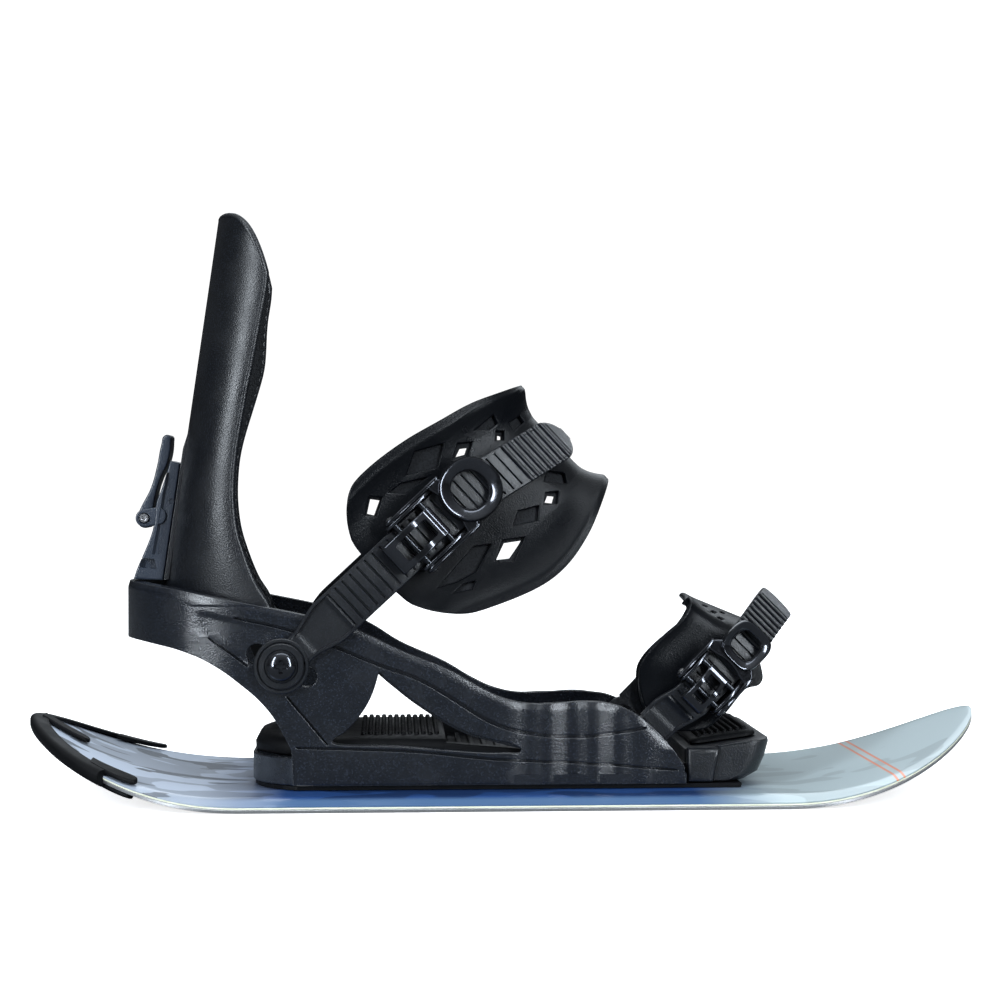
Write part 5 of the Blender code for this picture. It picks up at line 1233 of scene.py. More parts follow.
class SkiboardToeRamp(bpy.types.Operator):
    """Toe ramp, its pad and its two screws"""

    bl_idname = "skiboard.toe_ramp"
    bl_label = "Toe ramp"

    def execute(self, context):
        rings = []
        fronts = ((0.0, 0.104, 0.0012), (0.04, 0.1062, 0.0003), (0.22, 0.1122, 0.0), (0.55, 0.1152, 0.0))
        fronts += ((0.88, RAMP_FRONT, 0.0), (0.96, RAMP_FRONT, 0.0003), (1.0, RAMP_FRONT - 0.0003, 0.0014))
        for level, front, inset in fronts:
            ring = []
            for x, y in rounded_plan(RAMP_BACK, front, RAMP_HALF_WIDTH, 0.01, 8)(inset):
                height = BASE_BOTTOM + (ramp_top(x) - BASE_BOTTOM) * level
                ring.append(Vector((max(x, RAMP_BACK), y, height)))
            rings.append(ring)
        parts = [skin(rings)]
        step = [(RAMP_BACK, BASE_BOTTOM), (0.0905, BASE_BOTTOM), (0.0925, 0.018)]
        step += [(0.0935, 0.0236), (RAMP_BACK, 0.0236)]
        side_face = RAMP_HALF_WIDTH - 0.0004
        for side in (-1, 1):
            parts.append(upright(plate([step], -0.003, 0.003, 0.0022), side * side_face))
        for side in (-1, 1):
            line = steps_between(0.093, 0.107, 0.002)
            parts.append(tube([Vector((x, side * side_face, ramp_top(x) - 0.0004)) for x in line], 0.0006))
        low = FLOOR_TOP + GAP
        half = PAD_HALF_WIDTH - 0.003
        tongue = plate(
            [rectangle(TONGUE_BACK, -half, RAMP_BACK + 0.004, half)], low, low + TONGUE_THICKNESS, 0.0005
        )
        for y in (-0.028, 0.028):
            slot = capsule(TONGUE_BACK + 0.002, y, TONGUE_BACK + 0.012, y, 0.0024)
            tongue = carved(tongue, plate([slot], FLOOR_TOP, FLOOR_TOP + 0.01))
        piece("toe_ramp_fine", together(*parts, tongue), "black_nylon", "ramp", ["toe_ramp"], 40)
        plan = rounded_plan(BASE_FRONT + 0.004, RAMP_FRONT - 0.005, RAMP_HALF_WIDTH - 0.01, 0.006)
        levels = [(0.001, 0.0), (0.0, 0.0006), (0.0, 0.0014), (0.001, 0.0026), (0.003, RAMP_PAD_TOP)]
        cushion = domed(plan, levels, lambda x, level: ramp_top(x) + GAP + level)
        stud_rows = (BASE_FRONT + 0.008, RAMP_FRONT - 0.01, 0.032, 0.0031, 0.0012, 0.0014)
        rows = studs(*stud_rows, lambda x: ramp_top(x) + GAP + RAMP_PAD_TOP)
        top = together(cushion, *rows)
        pad = piece("toe_ramp_pad_fine", top, "black_rubber", "ramp", ["toe_ramp_pad"], 45)
        for name in ("near", "far"):
            dressed(f"toe_ramp_screw_{name}", "bright_steel")
        return {"FINISHED"}


# Highback

SPINE_FOOT = Vector((-0.1575, 0.097))
SPINE_SLOPE = 0.145
EAR_RADIUS = 0.0105
EAR_THICKNESS = 0.003

# How far forwards the sides of the highback reach, as (height, x)
WING = (
    (0.07, -0.105), (0.087, -0.109), (0.096, -0.1145), (0.109, -0.1198), (0.122, -0.1235),
    (0.138, -0.1249), (0.157, -0.1235), (0.181, -0.1195), (0.195, -0.1168), (0.214, -0.1133),
    (0.23, -0.1104), (0.24, -0.1098), (0.27, -0.1098),
)


def spine_x(z):
    """Back of the highback in the side view, at a height."""
    return SPINE_FOOT.x + SPINE_SLOPE * (z - SPINE_FOOT.y)


def highback_point(across, up, inset, reach, bottom, top):
    """Point of the highback. Across runs from -1 on the near side to +1 on the far side."""
    angle = across * math.pi / 2
    high = top - HIGHBACK_CORNER_DROP * abs(across) ** HIGHBACK_CORNER_POWER
    z = bottom + (high - bottom) * up
    back = spine_x(z) + inset
    low_part = 0.0045 * (1 - blend(0.0, 1.0, (z - 0.15) / 0.05))
    set_back = max(0.0, across) * (low_part + blend(0.0, 0.0028, (z - 0.195) / 0.03))
    front = smooth_read(WING, z) + reach(z) - set_back
    share = min(1.0, max(0.0, (z - 0.1) / (HIGHBACK_TOP - 0.1)))
    half = 0.0425 - 0.0045 * share - inset
    return Vector((front - (front - back) * math.cos(angle), half * math.sin(angle), z))


def highback_sheet(inset, reach, bottom, top, thickness, columns, rows):
    """Shell of the highback: outer face at the inset, inner face a thickness further in."""
    bm = bmesh.new()

    def grid(depth):
        return [
            [
                bm.verts.new(highback_point(2 * i / columns - 1, j / rows, inset + depth, reach, bottom, top))
                for j in range(rows + 1)
            ]
            for i in range(columns + 1)
        ]

    outer, inner = grid(0.0), grid(thickness)
    for i in range(columns):
        for j in range(rows):
            bm.faces.new((outer[i][j], outer[i + 1][j], outer[i + 1][j + 1], outer[i][j + 1]))
            bm.faces.new((inner[i][j], inner[i][j + 1], inner[i + 1][j + 1], inner[i + 1][j]))
        for j in (0, rows):
            bm.faces.new((outer[i][j], outer[i + 1][j], inner[i + 1][j], inner[i][j]))
    for j in range(rows):
        for i in (0, columns):
            bm.faces.new((outer[i][j], outer[i][j + 1], inner[i][j + 1], inner[i][j]))
    bmesh.ops.recalc_face_normals(bm, faces=bm.faces)
    return bm


def highback_rim(inset, reach, bottom, top):
    """Points round the highback's edge: up the near side, over the top, down the far side and back."""
    steps = 60
    points = [(-1.0, i / steps) for i in range(steps)]
    points += [(2 * i / steps - 1, 1.0) for i in range(steps)]
    points += [(1.0, 1 - i / steps) for i in range(steps)]
    points += [(1 - 2 * i / steps, 0.0) for i in range(steps)]
    return [highback_point(across, up, inset, reach, bottom, top) for across, up in points]


def ear_outline():
    """Side view of the ear that carries the highback on the strap bolt."""
    steps = 18
    points = []
    for i in range(steps + 1):
        angle = math.radians(-150 + 195 * i / steps)
        reach_x, reach_z = EAR_RADIUS * math.cos(angle), EAR_RADIUS * math.sin(angle)
        points.append((STRAP_BOLT_X + reach_x, STRAP_BOLT_Z + reach_z))
    return points + [(-0.108, 0.08), (-0.112, 0.085), (-0.12, 0.085), (-0.1165, 0.07)]


class SkiboardHighback(bpy.types.Operator):
    """Highback shell and its liner"""

    bl_idname = "skiboard.highback"
    bl_label = "Highback"

    def execute(self, context):
        def flush(z):
            return 0.0

        def ribbed(z):
            return 0.0008 + 0.0004 * math.sin(z * 2 * math.pi / 0.0042)

        bottom, top = HIGHBACK_BOTTOM, HIGHBACK_EDGE_TOP
        shell = highback_sheet(0.0, flush, bottom, top, SHELL_THICKNESS, 72, 72)
        rim_line = highback_rim(0.0018, flush, bottom, top)
        rim = tube(rim_line, context.scene.skiboard_sizes.bead_radius, closed=True)
        half = EAR_THICKNESS / 2
        ear_middle = BASE_HALF_WIDTH - RAIL_THICKNESS - GAP - half
        hole = circle(STRAP_BOLT_X, STRAP_BOLT_Z, BOLT_RADIUS + GAP)
        ears = []
        for y in (-ear_middle, ear_middle):
            ears.append(upright(plate([ear_outline(), hole], -half, half, 0.0004), y))
        low_z, high_z = SPINE_FOOT.y + 0.001, 0.172
        depth = SHELL_THICKNESS * 0.7
        seat_outline = [
            (spine_x(low_z), low_z),
            (spine_x(low_z) + depth, low_z),
            (spine_x(high_z) + depth, high_z),
            (spine_x(high_z - 0.014), high_z - 0.014),
        ]
        seat = upright(plate([seat_outline], -0.015, 0.015, 0.0003))
        whole = together(shell, rim, seat, *ears)
        piece("highback_shell_fine", whole, "black_nylon", "highback", ["highback_shell"])
        inset = SHELL_THICKNESS + GAP
        liner = highback_sheet(inset, ribbed, bottom + 0.012, top - 0.003, LINER_THICKNESS, 48, 210)
        soft = piece("highback_liner_fine", liner, "foam", "highback", ["highback_liner"])
        return {"FINISHED"}


class SkiboardLeanAdjuster(bpy.types.Operator):
    """Lean block, its lever and pin"""

    bl_idname = "skiboard.lean_adjuster"
    bl_label = "Lean adjuster"

    def execute(self, context):
        low_z, high_z = 0.0978, 0.1512
        gap = 0.0004
        outline = [
            (spine_x(low_z) - gap, low_z),
            (spine_x(high_z) - gap, high_z),
            (spine_x(high_z) - 0.0048, high_z + 0.0012),
            *smooth(
                (-0.1585, 0.1395), (-0.1608, 0.133), (-0.1618, 0.124), (-0.1635, 0.1176),
                (-0.1667, 0.1097), (-0.1699, 0.1023),
            ),
            (-0.1712, low_z + 0.0004),
        ]
        block = upright(plate([outline], -LEAN_HALF_WIDTH, LEAN_HALF_WIDTH, 0.0007))
        way = [
            (-0.18, 0.118), (-0.162, 0.118), (-0.1612, 0.13),
            (-0.157, 0.14), (-0.1545, 0.16), (-0.18, 0.16),
        ]
        room = LEVER_HALF_WIDTH + 0.0004
        block = carved(block, upright(plate([way], -room, room)))
        channel = [
            (-0.156, 0.1472), (-0.1543, 0.1464), (-0.1548, 0.1335), (-0.1578, 0.1145),
            (-0.1594, 0.1096), (-0.1628, 0.1096), (-0.1603, 0.123), (-0.1578, 0.138),
        ]
        pocket = [(-0.1676, 0.1079), (-0.1617, 0.1075), (-0.1606, 0.1028), (-0.1686, 0.1036)]
        catch = circle(-0.154, 0.1338, 0.0013, 16)
        for shape, depth in ((channel, 0.0016), (pocket, 0.0032), (catch, 0.002)):
            for side in (-1, 1):
                block = carved(block, upright(plate([shape], -depth, depth), side * LEAN_HALF_WIDTH))
        pin_hole = circle(LEAN_PIN_X, LEAN_PIN_Z, LEAN_PIN_RADIUS + GAP, 24)
        ear = capsule(LEAN_PIN_X, LEAN_PIN_Z, LEAN_PIN_X + 0.006, LEAN_PIN_Z + 0.001, 0.004)
        thick = LEAN_HALF_WIDTH - 0.0005 - room
        ears = []
        for side in (-1, 1):
            cheek = plate([ear, pin_hole], -thick / 2, thick / 2, 0.0005)
            ears.append(upright(cheek, side * (room + thick / 2)))
        piece("lean_block_fine", together(block, *ears), "grey_nylon", "lean_adjuster", ["lean_block"], 40)
        lever = smooth(
            (-0.1578, 0.164), (-0.1552, 0.164), (-0.1548, 0.161), (-0.1562, 0.152),
            (-0.1597, 0.144), (-0.1618, 0.137), (-0.1631, 0.129), (-0.1632, 0.125),
            (-0.1645, 0.1222), (-0.167, 0.1215), (-0.1695, 0.123), (-0.1704, 0.126),
            (-0.169, 0.13), (-0.164, 0.14), (-0.1612, 0.15), (-0.1592, 0.16),
        )
        handle = upright(plate([lever, pin_hole], -LEVER_HALF_WIDTH, LEVER_HALF_WIDTH, 0.0008))
        piece("lean_lever_fine", handle, "grey_nylon", "lean_lever", ["lean_lever"], 40)
        reach = LEAN_HALF_WIDTH + 0.0008
        steps = ((0.0, 0.0008), (0.45, 0.0007), (0.6, 0.0), (0.9, 0.0), (1.0, 0.0003))
        end = [(LEAN_PIN_RADIUS * share, reach - drop) for share, drop in steps]
        place = Matrix.Translation((LEAN_PIN_X, 0, LEAN_PIN_Z)) @ Matrix.Rotation(math.pi / 2, 4, "X")
        pin = turned(both_ends(end), place, 32)
        piece("lean_pin_fine", pin, "bright_steel", "lean_adjuster", ["lean_pin"])
        return {"FINISHED"}


# Straps


def corners_cut(points):
    """One round of corner cutting on a chain of points; its ends stay."""
    smoother = [points[0]]
    for before, after in zip(points, points[1:]):
        smoother += [before.lerp(after, 0.25), before.lerp(after, 0.75)]
    return smoother + [points[-1]]


class Strap:
    """Arch of a strap over the foot, in the tilted plane through its two bolts.

    Its turns are (distance in from the half span, height) points of the near half, mirrored to the far side.
    """

    def __init__(self, bolt_x, bolt_z, tilt, half_span, turns):
        self.origin = Vector((bolt_x, 0.0, bolt_z))
        self.up = Vector((math.cos(tilt), 0.0, math.sin(tilt)))
        self.across = Vector((math.sin(tilt), 0.0, -math.cos(tilt)))
        self.half_span = half_span
        points = [Vector((inwards - half_span, height)) for inwards, height in turns]
        points += [Vector((-point.x, point.y)) for point in reversed(points[:-1])]
        for _ in range(5):
            points = corners_cut(points)
        self.path = points
        self.lengths = [0.0]
        for before, after in zip(points, points[1:]):
            self.lengths.append(self.lengths[-1] + (after - before).length)
        self.total = self.lengths[-1]

    def length_at(self, height):
        """Distance along the near side of the strap to a height."""
        for point, length in zip(self.path, self.lengths):
            if point.y >= height:
                return length
        return self.total / 2

    def at(self, length, straight_from=None):
        """Point and unit direction of the path. Past straight_from the path goes on straight."""
        extra = 0.0
        if straight_from is not None and length > straight_from:
            extra = length - straight_from
            length = straight_from
        length = min(max(length, 0.0), self.total)
        index = max(1, bisect.bisect_left(self.lengths, length))
        before, after = self.path[index - 1], self.path[index]
        share = (length - self.lengths[index - 1]) / (after - before).length
        behind = self.path[max(0, index - 3)]
        ahead = self.path[min(len(self.path) - 1, index + 2)]
        direction = (ahead - behind).normalized()
        return before.lerp(after, share) + direction * extra, direction

    def place(self, length, out, side, straight_from=None):
        """World point at a distance along the strap, out from the foot, and across the strap."""
        (y, height), (way_y, way_up) = self.at(length, straight_from)
        y -= way_up * out
        height += way_y * out
        return self.origin + self.up * height + self.across * side + Vector((0.0, y, 0.0))

    def seat(self, length, out=0.0, side=0.0):
        """Placement with +X up the strap and +Z out from the foot."""
        way_y, way_up = self.at(length)[1]
        along = self.up * way_up + Vector((0.0, way_y, 0.0))
        outward = self.up * way_y - Vector((0.0, way_up, 0.0))
        third = outward.cross(along)
        matrix = Matrix((along, third, outward)).transposed().to_4x4()
        matrix.translation = self.place(length, out, side)
        return matrix


def ankle_strap():
    turns = [(0.0, 0.0), (0.0, 0.04), (-0.0003, 0.059), (0.0032, 0.081), (0.0067, 0.103)]
    turns += [(0.0102, 0.125), (0.0177, 0.149), (0.0337, ANKLE_HEIGHT), (ANKLE_HALF_SPAN, ANKLE_HEIGHT)]
    return Strap(STRAP_BOLT_X, STRAP_BOLT_Z, ANKLE_TILT, ANKLE_HALF_SPAN, turns)


def toe_strap():
    turns = [(0.0, 0.0), (0.0, 0.012), (-0.0032, 0.024), (-0.0018, 0.037), (-0.0004, 0.05)]
    turns += [(0.001, 0.063), (0.007, TOE_HEIGHT - 0.001), (0.025, TOE_HEIGHT)]
    turns.append((TOE_HALF_SPAN, TOE_HEIGHT))
    return Strap(TOE_BOLT_X, TOE_BOLT_Z, TOE_TILT, TOE_HALF_SPAN, turns)


def ladder_ring(strap, length, half, low, middle, rim, shift, straight_from=None):
    """Section of a ladder strap: a rim along each side and a middle of its own height."""
    corner = min(0.0004, half * 0.2)
    lip = min(0.0013, half * 0.35)
    right = [
        (half - corner, low), (half, low + corner), (half, rim - corner), (half - corner, rim),
        (half - lip, rim), (half - lip - 0.0003, middle), (half * 0.3, middle),
    ]
    ring = right + [(-side, out) for side, out in reversed(right)]
    return [strap.place(length, out, side + shift, straight_from) for side, out in ring]


# Teeth as (share of the pitch, share of the tooth's height)
STEPPED_TOOTH = ((0.0, 0.15), (0.04, 0.8), (0.1, 1.0), (0.5, 0.93), (0.84, 0.84), (0.9, 0.15))
ROUND_TOOTH = (
    (0.0, 0.0), (0.1, 0.6), (0.2, 0.92), (0.32, 1.0), (0.46, 0.92), (0.58, 0.6), (0.68, 0.0), (0.84, 0.0),
)


class Ladder:
    """Ladder strap: a rimmed waist above the eye, stepped teeth up to the buckle and round ridges past it."""

    def __init__(self, strap, eye, width, waist, waist_end, teeth_from):
        self.strap = strap
        self.eye = eye
        self.half = width / 2
        self.waist = waist
        self.waist_end = waist_end
        self.teeth_from = teeth_from

    def mesh(self, pitches, end, straight_from, drift, tip_share, tip_power):
        """The strap is drawn straight past straight_from. Drift is a rule for how far it lies across."""
        root = LADDER_THICKNESS / 2
        rim = root + TOOTH_HEIGHT - 0.0001
        tip = self.half * tip_share
        stations = []
        for length in steps_between(self.eye * 0.6, self.teeth_from - 0.0012, 0.0012):
            panel = blend(root + 0.0003, root - 0.0004, (length - self.eye * 1.15) / 0.0015)
            panel = blend(panel, rim, (length - self.teeth_from + 0.003) / 0.0012)
            stations.append((length, panel, blend(root, rim, (length - self.eye * 0.9) / 0.006)))
        length = self.teeth_from
        while True:
            stepped = length < straight_from
            shape, pitch = (STEPPED_TOOTH, pitches[0]) if stepped else (ROUND_TOOTH, pitches[1])
            if length + pitch > end - 0.0014:
                break
            for share, high in shape:
                middle = root + TOOTH_HEIGHT * high
                edge = rim if stepped else max(middle, root + 0.0003)
                stations.append((length + share * pitch, middle, edge))
            length += pitch
        for share in (0.0, 0.25, 0.5, 0.7, 0.85, 0.95, 1.0):
            high = root + 0.0004 * (1 - share)
            stations.append((length + (end - length) * share, high, high))
        rings = []
        for length, middle, high in stations:
            wide = blend(self.waist, self.half, (length - self.eye) / (self.waist_end - self.eye))
            if length > end - tip:
                reach = min(1.0, (length - end + tip) / tip)
                wide = self.half * max(0.1, 1 - reach**tip_power) ** 0.5
            section = (length, wide, -root, middle, high, drift(length))
            rings.append(ladder_ring(self.strap, *section, straight_from))
        return skin(rings)


def eye_ring(strap, side, radius, lip):
    """Round end of a strap about its bolt, with a lip round its outer face."""
    low = strap.half_span - LADDER_THICKNESS / 2
    face = strap.half_span + LADDER_THICKNESS / 2
    bore = BOLT_RADIUS + GAP
    soft = 0.0004
    profile = [
        (bore, low), (radius - soft, low), (radius, low + soft), (radius, face + lip - soft),
        (radius - soft, face + lip), (radius - 0.0014, face + lip),
        (radius - 0.0017, face + lip - 0.0003), (radius - 0.0017, face), (bore, face),
    ]
    return turned(profile, facing_side(strap.origin.x, 0.0, strap.origin.z, side), 72, ring=True)


def connector(strap, radius, width, waist, clear, reach):
    """Far side strap from its bolt, past the rail at the length clear, up onto the pad."""
    half = width / 2
    sunk = PAD_OFFSET - PAD_THICKNESS / 2 - GAP - LADDER_THICKNESS / 2
    rings = []
    lengths = steps_between(radius * 0.55, reach - 0.005, 0.0015)
    lengths += [reach - short for short in (0.003, 0.0015, 0.0005, 0.0)]
    for length in lengths:
        wide = blend(waist, half, (length - radius) / (radius * 1.5))
        to_end = max(0.0, length - reach + 0.005) / 0.005
        wide *= math.sqrt(1 - 0.5 * to_end**2)
        out = -blend(0.0, sunk, (length - clear) / (reach - clear) / 0.6)
        low, high = out - LADDER_THICKNESS / 2, out + LADDER_THICKNESS / 2
        panel = high - blend(0.0, 0.0006, min(length - radius * 1.2, reach - 0.006 - length) / 0.0015)
        rings.append(ladder_ring(strap, strap.total - length, wide, low, panel, high, 0.0))
    return skin(rings)


class Pad:
    """Moulded strap pad. Rules of the height up the strap give its middle, half width and lift."""

    def __init__(self, strap, end, middle, half_width, lift):
        self.strap = strap
        self.start = strap.length_at(end)
        self.finish = strap.total - self.start
        self.middle = middle
        self.half_width = half_width
        self.lift = lift

    def edges(self, length):
        along = 2 * (length - self.start) / (self.finish - self.start) - 1
        height = self.strap.at(length)[0].y
        end_share = max(0.0, (abs(along) - 0.84) / 0.16)
        half = self.half_width(height, along) * math.sqrt(1 - 0.75 * min(1.0, end_share) ** 2)
        return self.middle(height, along), half

    def outline(self, inset=0.0):
        lefts, rights = [], []
        for length in steps_between(self.start + inset, self.finish - inset, 0.0045):
            middle, half = self.edges(length)
            lefts.append(Vector((length, middle - half + inset)))
            rights.append(Vector((length, middle + half - inset)))
        ring = rounded_ring(lefts + rights[::-1])
        return [(point.x, point.y) for point in ring]

    def place(self, co):
        """Place of a point of the flat pad: length along the strap, side, and distance out of its middle."""
        length, side, out = co
        height = self.strap.at(length)[0].y
        along = 2 * (length - self.start) / (self.finish - self.start) - 1
        across = (side - self.middle(height, along)) / self.half_width(height, along)
        return self.strap.place(length, out - PAD_OFFSET + self.lift(height, side, across), side)

    def layer(self, inset, holes, low, high, rounding):
        """Sheet of the pad with its holes, bent to its place."""
        bm = plate([self.outline(inset), *holes], low, high, rounding, steps=3)
        sliced(bm, 0, steps_between(self.start, self.finish, 0.003))
        sliced(bm, 1, steps_between(-0.056, 0.056, 0.004))
        return mapped(bm, self.place)


# Cut-outs of one half of the ankle pad, with corners as (length, side) in millimetres
ANKLE_CUTS = (
    ((72.8, -23.2), (79.6, -28.2), (83.8, -24.0), (76.4, -19.6)),
    ((87.6, -23.4), (94.6, -22.6), (104.8, -16.9), (92.4, -18.6)),
    ((98.6, -23.9), (108.0, -29.0), (120.6, -22.9), (111.5, -17.0)),
    ((119.6, -15.0), (125.6, -18.6), (131.4, -14.6), (125.6, -11.2)),
    ((136.6, -17.6), (148.0, -17.0), (147.4, -12.9), (141.6, -13.6)),
    ((140.8, -8.0), (144.4, -10.8), (148.0, -8.4), (144.4, -5.4)),
    ((153.5, -9.6), (162.8, -8.6), (163.0, -5.0), (152.6, -5.4)),
    ((78.2, 28.6), (83.8, 28.8), (88.9, 31.5), (85.0, 33.0)),
    ((75.0, 22.2), (99.0, 20.0), (105.4, 24.4), (92.0, 28.6), (82.4, 26.0)),
    ((101.5, 31.5), (110.5, 26.8), (119.0, 32.6), (107.5, 36.8)),
    ((125.4, 22.2), (134.4, 26.8), (129.0, 31.2), (119.0, 25.2)),
    ((137.0, 28.0), (141.5, 24.8), (147.4, 28.4), (141.8, 31.8)),
    ((145.4, 20.6), (151.4, 18.4), (158.6, 24.4), (154.6, 28.6)),
)

# Holes in the lining through which light comes, on the near and on the far half
NEAR_WAYS = (
    ((74.2, -23.3), (79.5, -27.1), (82.3, -23.9), (76.1, -20.7)),
    ((121.5, -14.8), (125.4, -16.2), (128.3, -14.4), (125.4, -12.9)),
    ((142.2, -7.9), (144.4, -9.3), (146.2, -8.2), (144.4, -6.6)),
    ((102.7, 31.3), (110.5, 28.3), (117.0, 32.7), (107.3, 35.5)),
    ((138.4, 27.8), (141.8, 26.2), (144.6, 28.7), (141.0, 30.3)),
)
FAR_WAYS = (
    ((71.6, -23.0), (78.4, -28.6), (83.2, -23.8), (75.0, -18.9)),
    ((122.2, -13.9), (128.3, -17.0), (133.2, -13.2), (128.3, -10.2)),
    ((144.6, -5.2), (148.4, -8.4), (151.6, -5.0), (148.2, -2.4)),
    ((101.4, 35.0), (111.2, 30.6), (121.0, 37.2), (108.4, 40.2)),
    ((141.2, 31.7), (146.3, 29.6), (150.2, 33.6), (144.9, 36.0)),
)

# Cut-outs that lie over those holes. The far half has its own in their place
WAY_CUTS = (0, 3, 5, 9, 11)


def scaled(points, total, mirrored):
    """Corners given in millimetres on the near half, or mirrored to the far half."""
    return [((total - x / 1000 if mirrored else x / 1000), y / 1000) for x, y in points]


def ankle_lift(_height, _side, across):
    """The edges flare out, and the rim itself turns back a little."""
    flare = max(0.0, (abs(across) - 0.45) / 0.55)
    return 0.0092 * flare**2 * (1 - 0.3 * blend(0.0, 1.0, (flare - 0.78) / 0.22))


# Half width of the ankle pad by height up the strap
ANKLE_PAD_HALF_WIDTHS = (
    (0.052, 0.031), (0.064, 0.035), (0.078, 0.0395), (0.094, 0.043), (0.11, 0.0445),
    (0.124, 0.0432), (0.14, 0.0395), (0.153, 0.0342), (0.165, 0.029),
)


def ankle_pad(strap):
    return Pad(
        strap,
        0.059,
        lambda height, along: blend(0.0, 0.0115, (height - 0.06) / 0.07),
        lambda height, along: smooth_read(ANKLE_PAD_HALF_WIDTHS, height),
        ankle_lift,
    )


# Edges of the toe pad by height up the strap, on the near side
TOE_PAD_BACK = (
    (0.006, -0.0105), (0.012, -0.019), (0.0172, -0.0232), (0.029, -0.0258), (0.04, -0.0258),
    (0.049, -0.0248), (0.056, -0.0262), (0.064, -0.0285), (0.075, -0.0275),
)
TOE_PAD_FRONT = (
    (0.006, 0.011), (0.012, 0.0152), (0.019, 0.0176), (0.0335, 0.019), (0.044, 0.018),
    (0.05, 0.0185), (0.054, 0.0222), (0.06, 0.0185), (0.066, 0.0095), (0.075, 0.004),
)


def toe_pad():
    """The toe pad follows a path with a rounder fold at its crown. Its far wall is set forwards."""
    turns = [(0.0, 0.0), (0.0, 0.012), (-0.0032, 0.024), (-0.0018, 0.037), (-0.0004, 0.05)]
    turns += [(0.001, 0.06), (0.0062, 0.069), (0.023, 0.0738), (TOE_HALF_SPAN, TOE_HEIGHT + 0.0004)]
    path = Strap(TOE_BOLT_X, TOE_BOLT_Z, TOE_TILT, TOE_HALF_SPAN, turns)

    def sides(height, along):
        far = 0.0115 * blend(0.0, 1.0, along * 2.5 - 0.1)
        return smooth_read(TOE_PAD_BACK, height) + far, smooth_read(TOE_PAD_FRONT, height) + far * 0.2

    def middle(height, along):
        back, front = sides(height, along)
        return (back + front) / 2

    def half_width(height, along):
        back, front = sides(height, along)
        return (front - back) / 2

    def lift(height, side, across):
        high = blend(0.0, 1.0, (height - 0.057) / 0.013)
        crown = 0.42 * (side + 0.004) * high * blend(0.0, 1.0, (0.012 - side) / 0.012)
        rim = max(0.0, (abs(across) - 0.6) / 0.4) ** 2
        return crown + 0.0022 * rim * blend(1.0, 0.3, (height - 0.05) / 0.01)

    return Pad(path, 0.0078, middle, half_width, lift)


class SkiboardAnkleStrap(bpy.types.Operator):
    """Ankle strap: ladder, pad and connector"""

    bl_idname = "skiboard.ankle_strap"
    bl_label = "Ankle strap"

    def execute(self, context):
        strap = ankle_strap()
        leave = strap.length_at(0.135)
        turn_from = strap.length_at(0.108)

        def drift(length):
            return max(0.0, length - turn_from) * 0.2

        teeth = Ladder(strap, ANKLE_EYE_RADIUS, ANKLE_LADDER_WIDTH, 0.007, 0.03, 0.0365)
        teeth = teeth.mesh((TOOTH_PITCH, 0.0034), leave + 0.029, leave, drift, 0.8, 2.4)
        body = together(teeth, eye_ring(strap, -1, ANKLE_EYE_RADIUS, 0.0008))
        piece("ankle_ladder_fine", body, "black_nylon", "ankle_strap", ["ankle_ladder"])
        pad = ankle_pad(strap)
        cuts = [scaled(cut, strap.total, False) for cut in ANKLE_CUTS]
        far_cuts = [cut for i, cut in enumerate(ANKLE_CUTS) if i not in WAY_CUTS]
        cuts += [scaled(cut, strap.total, True) for cut in (*far_cuts, *FAR_WAYS)]
        ways = [scaled(way, strap.total, False) for way in NEAR_WAYS]
        ways += [scaled(way, strap.total, True) for way in FAR_WAYS]
        shell = pad.layer(0.0, cuts, -0.001, 0.0016, 0.0006)
        piece("ankle_pad_shell", shell, "pad_nylon", "ankle_strap", ["ankle_pad"], 50)
        lining = pad.layer(0.003, ways, -0.0016, -0.0009, 0.0002)
        lining = piece("ankle_pad_lining", lining, "foam", "ankle_strap")
        far = connector(strap, ANKLE_EYE_RADIUS, ANKLE_LADDER_WIDTH, 0.008, 0.046, strap.length_at(0.098))
        body = together(far, eye_ring(strap, 1, ANKLE_EYE_RADIUS, 0.0008))
        piece("ankle_connector_fine", body, "black_nylon", "ankle_strap", ["ankle_connector"])
        dressed("ankle_connector_screw", "bright_steel")
        return {"FINISHED"}


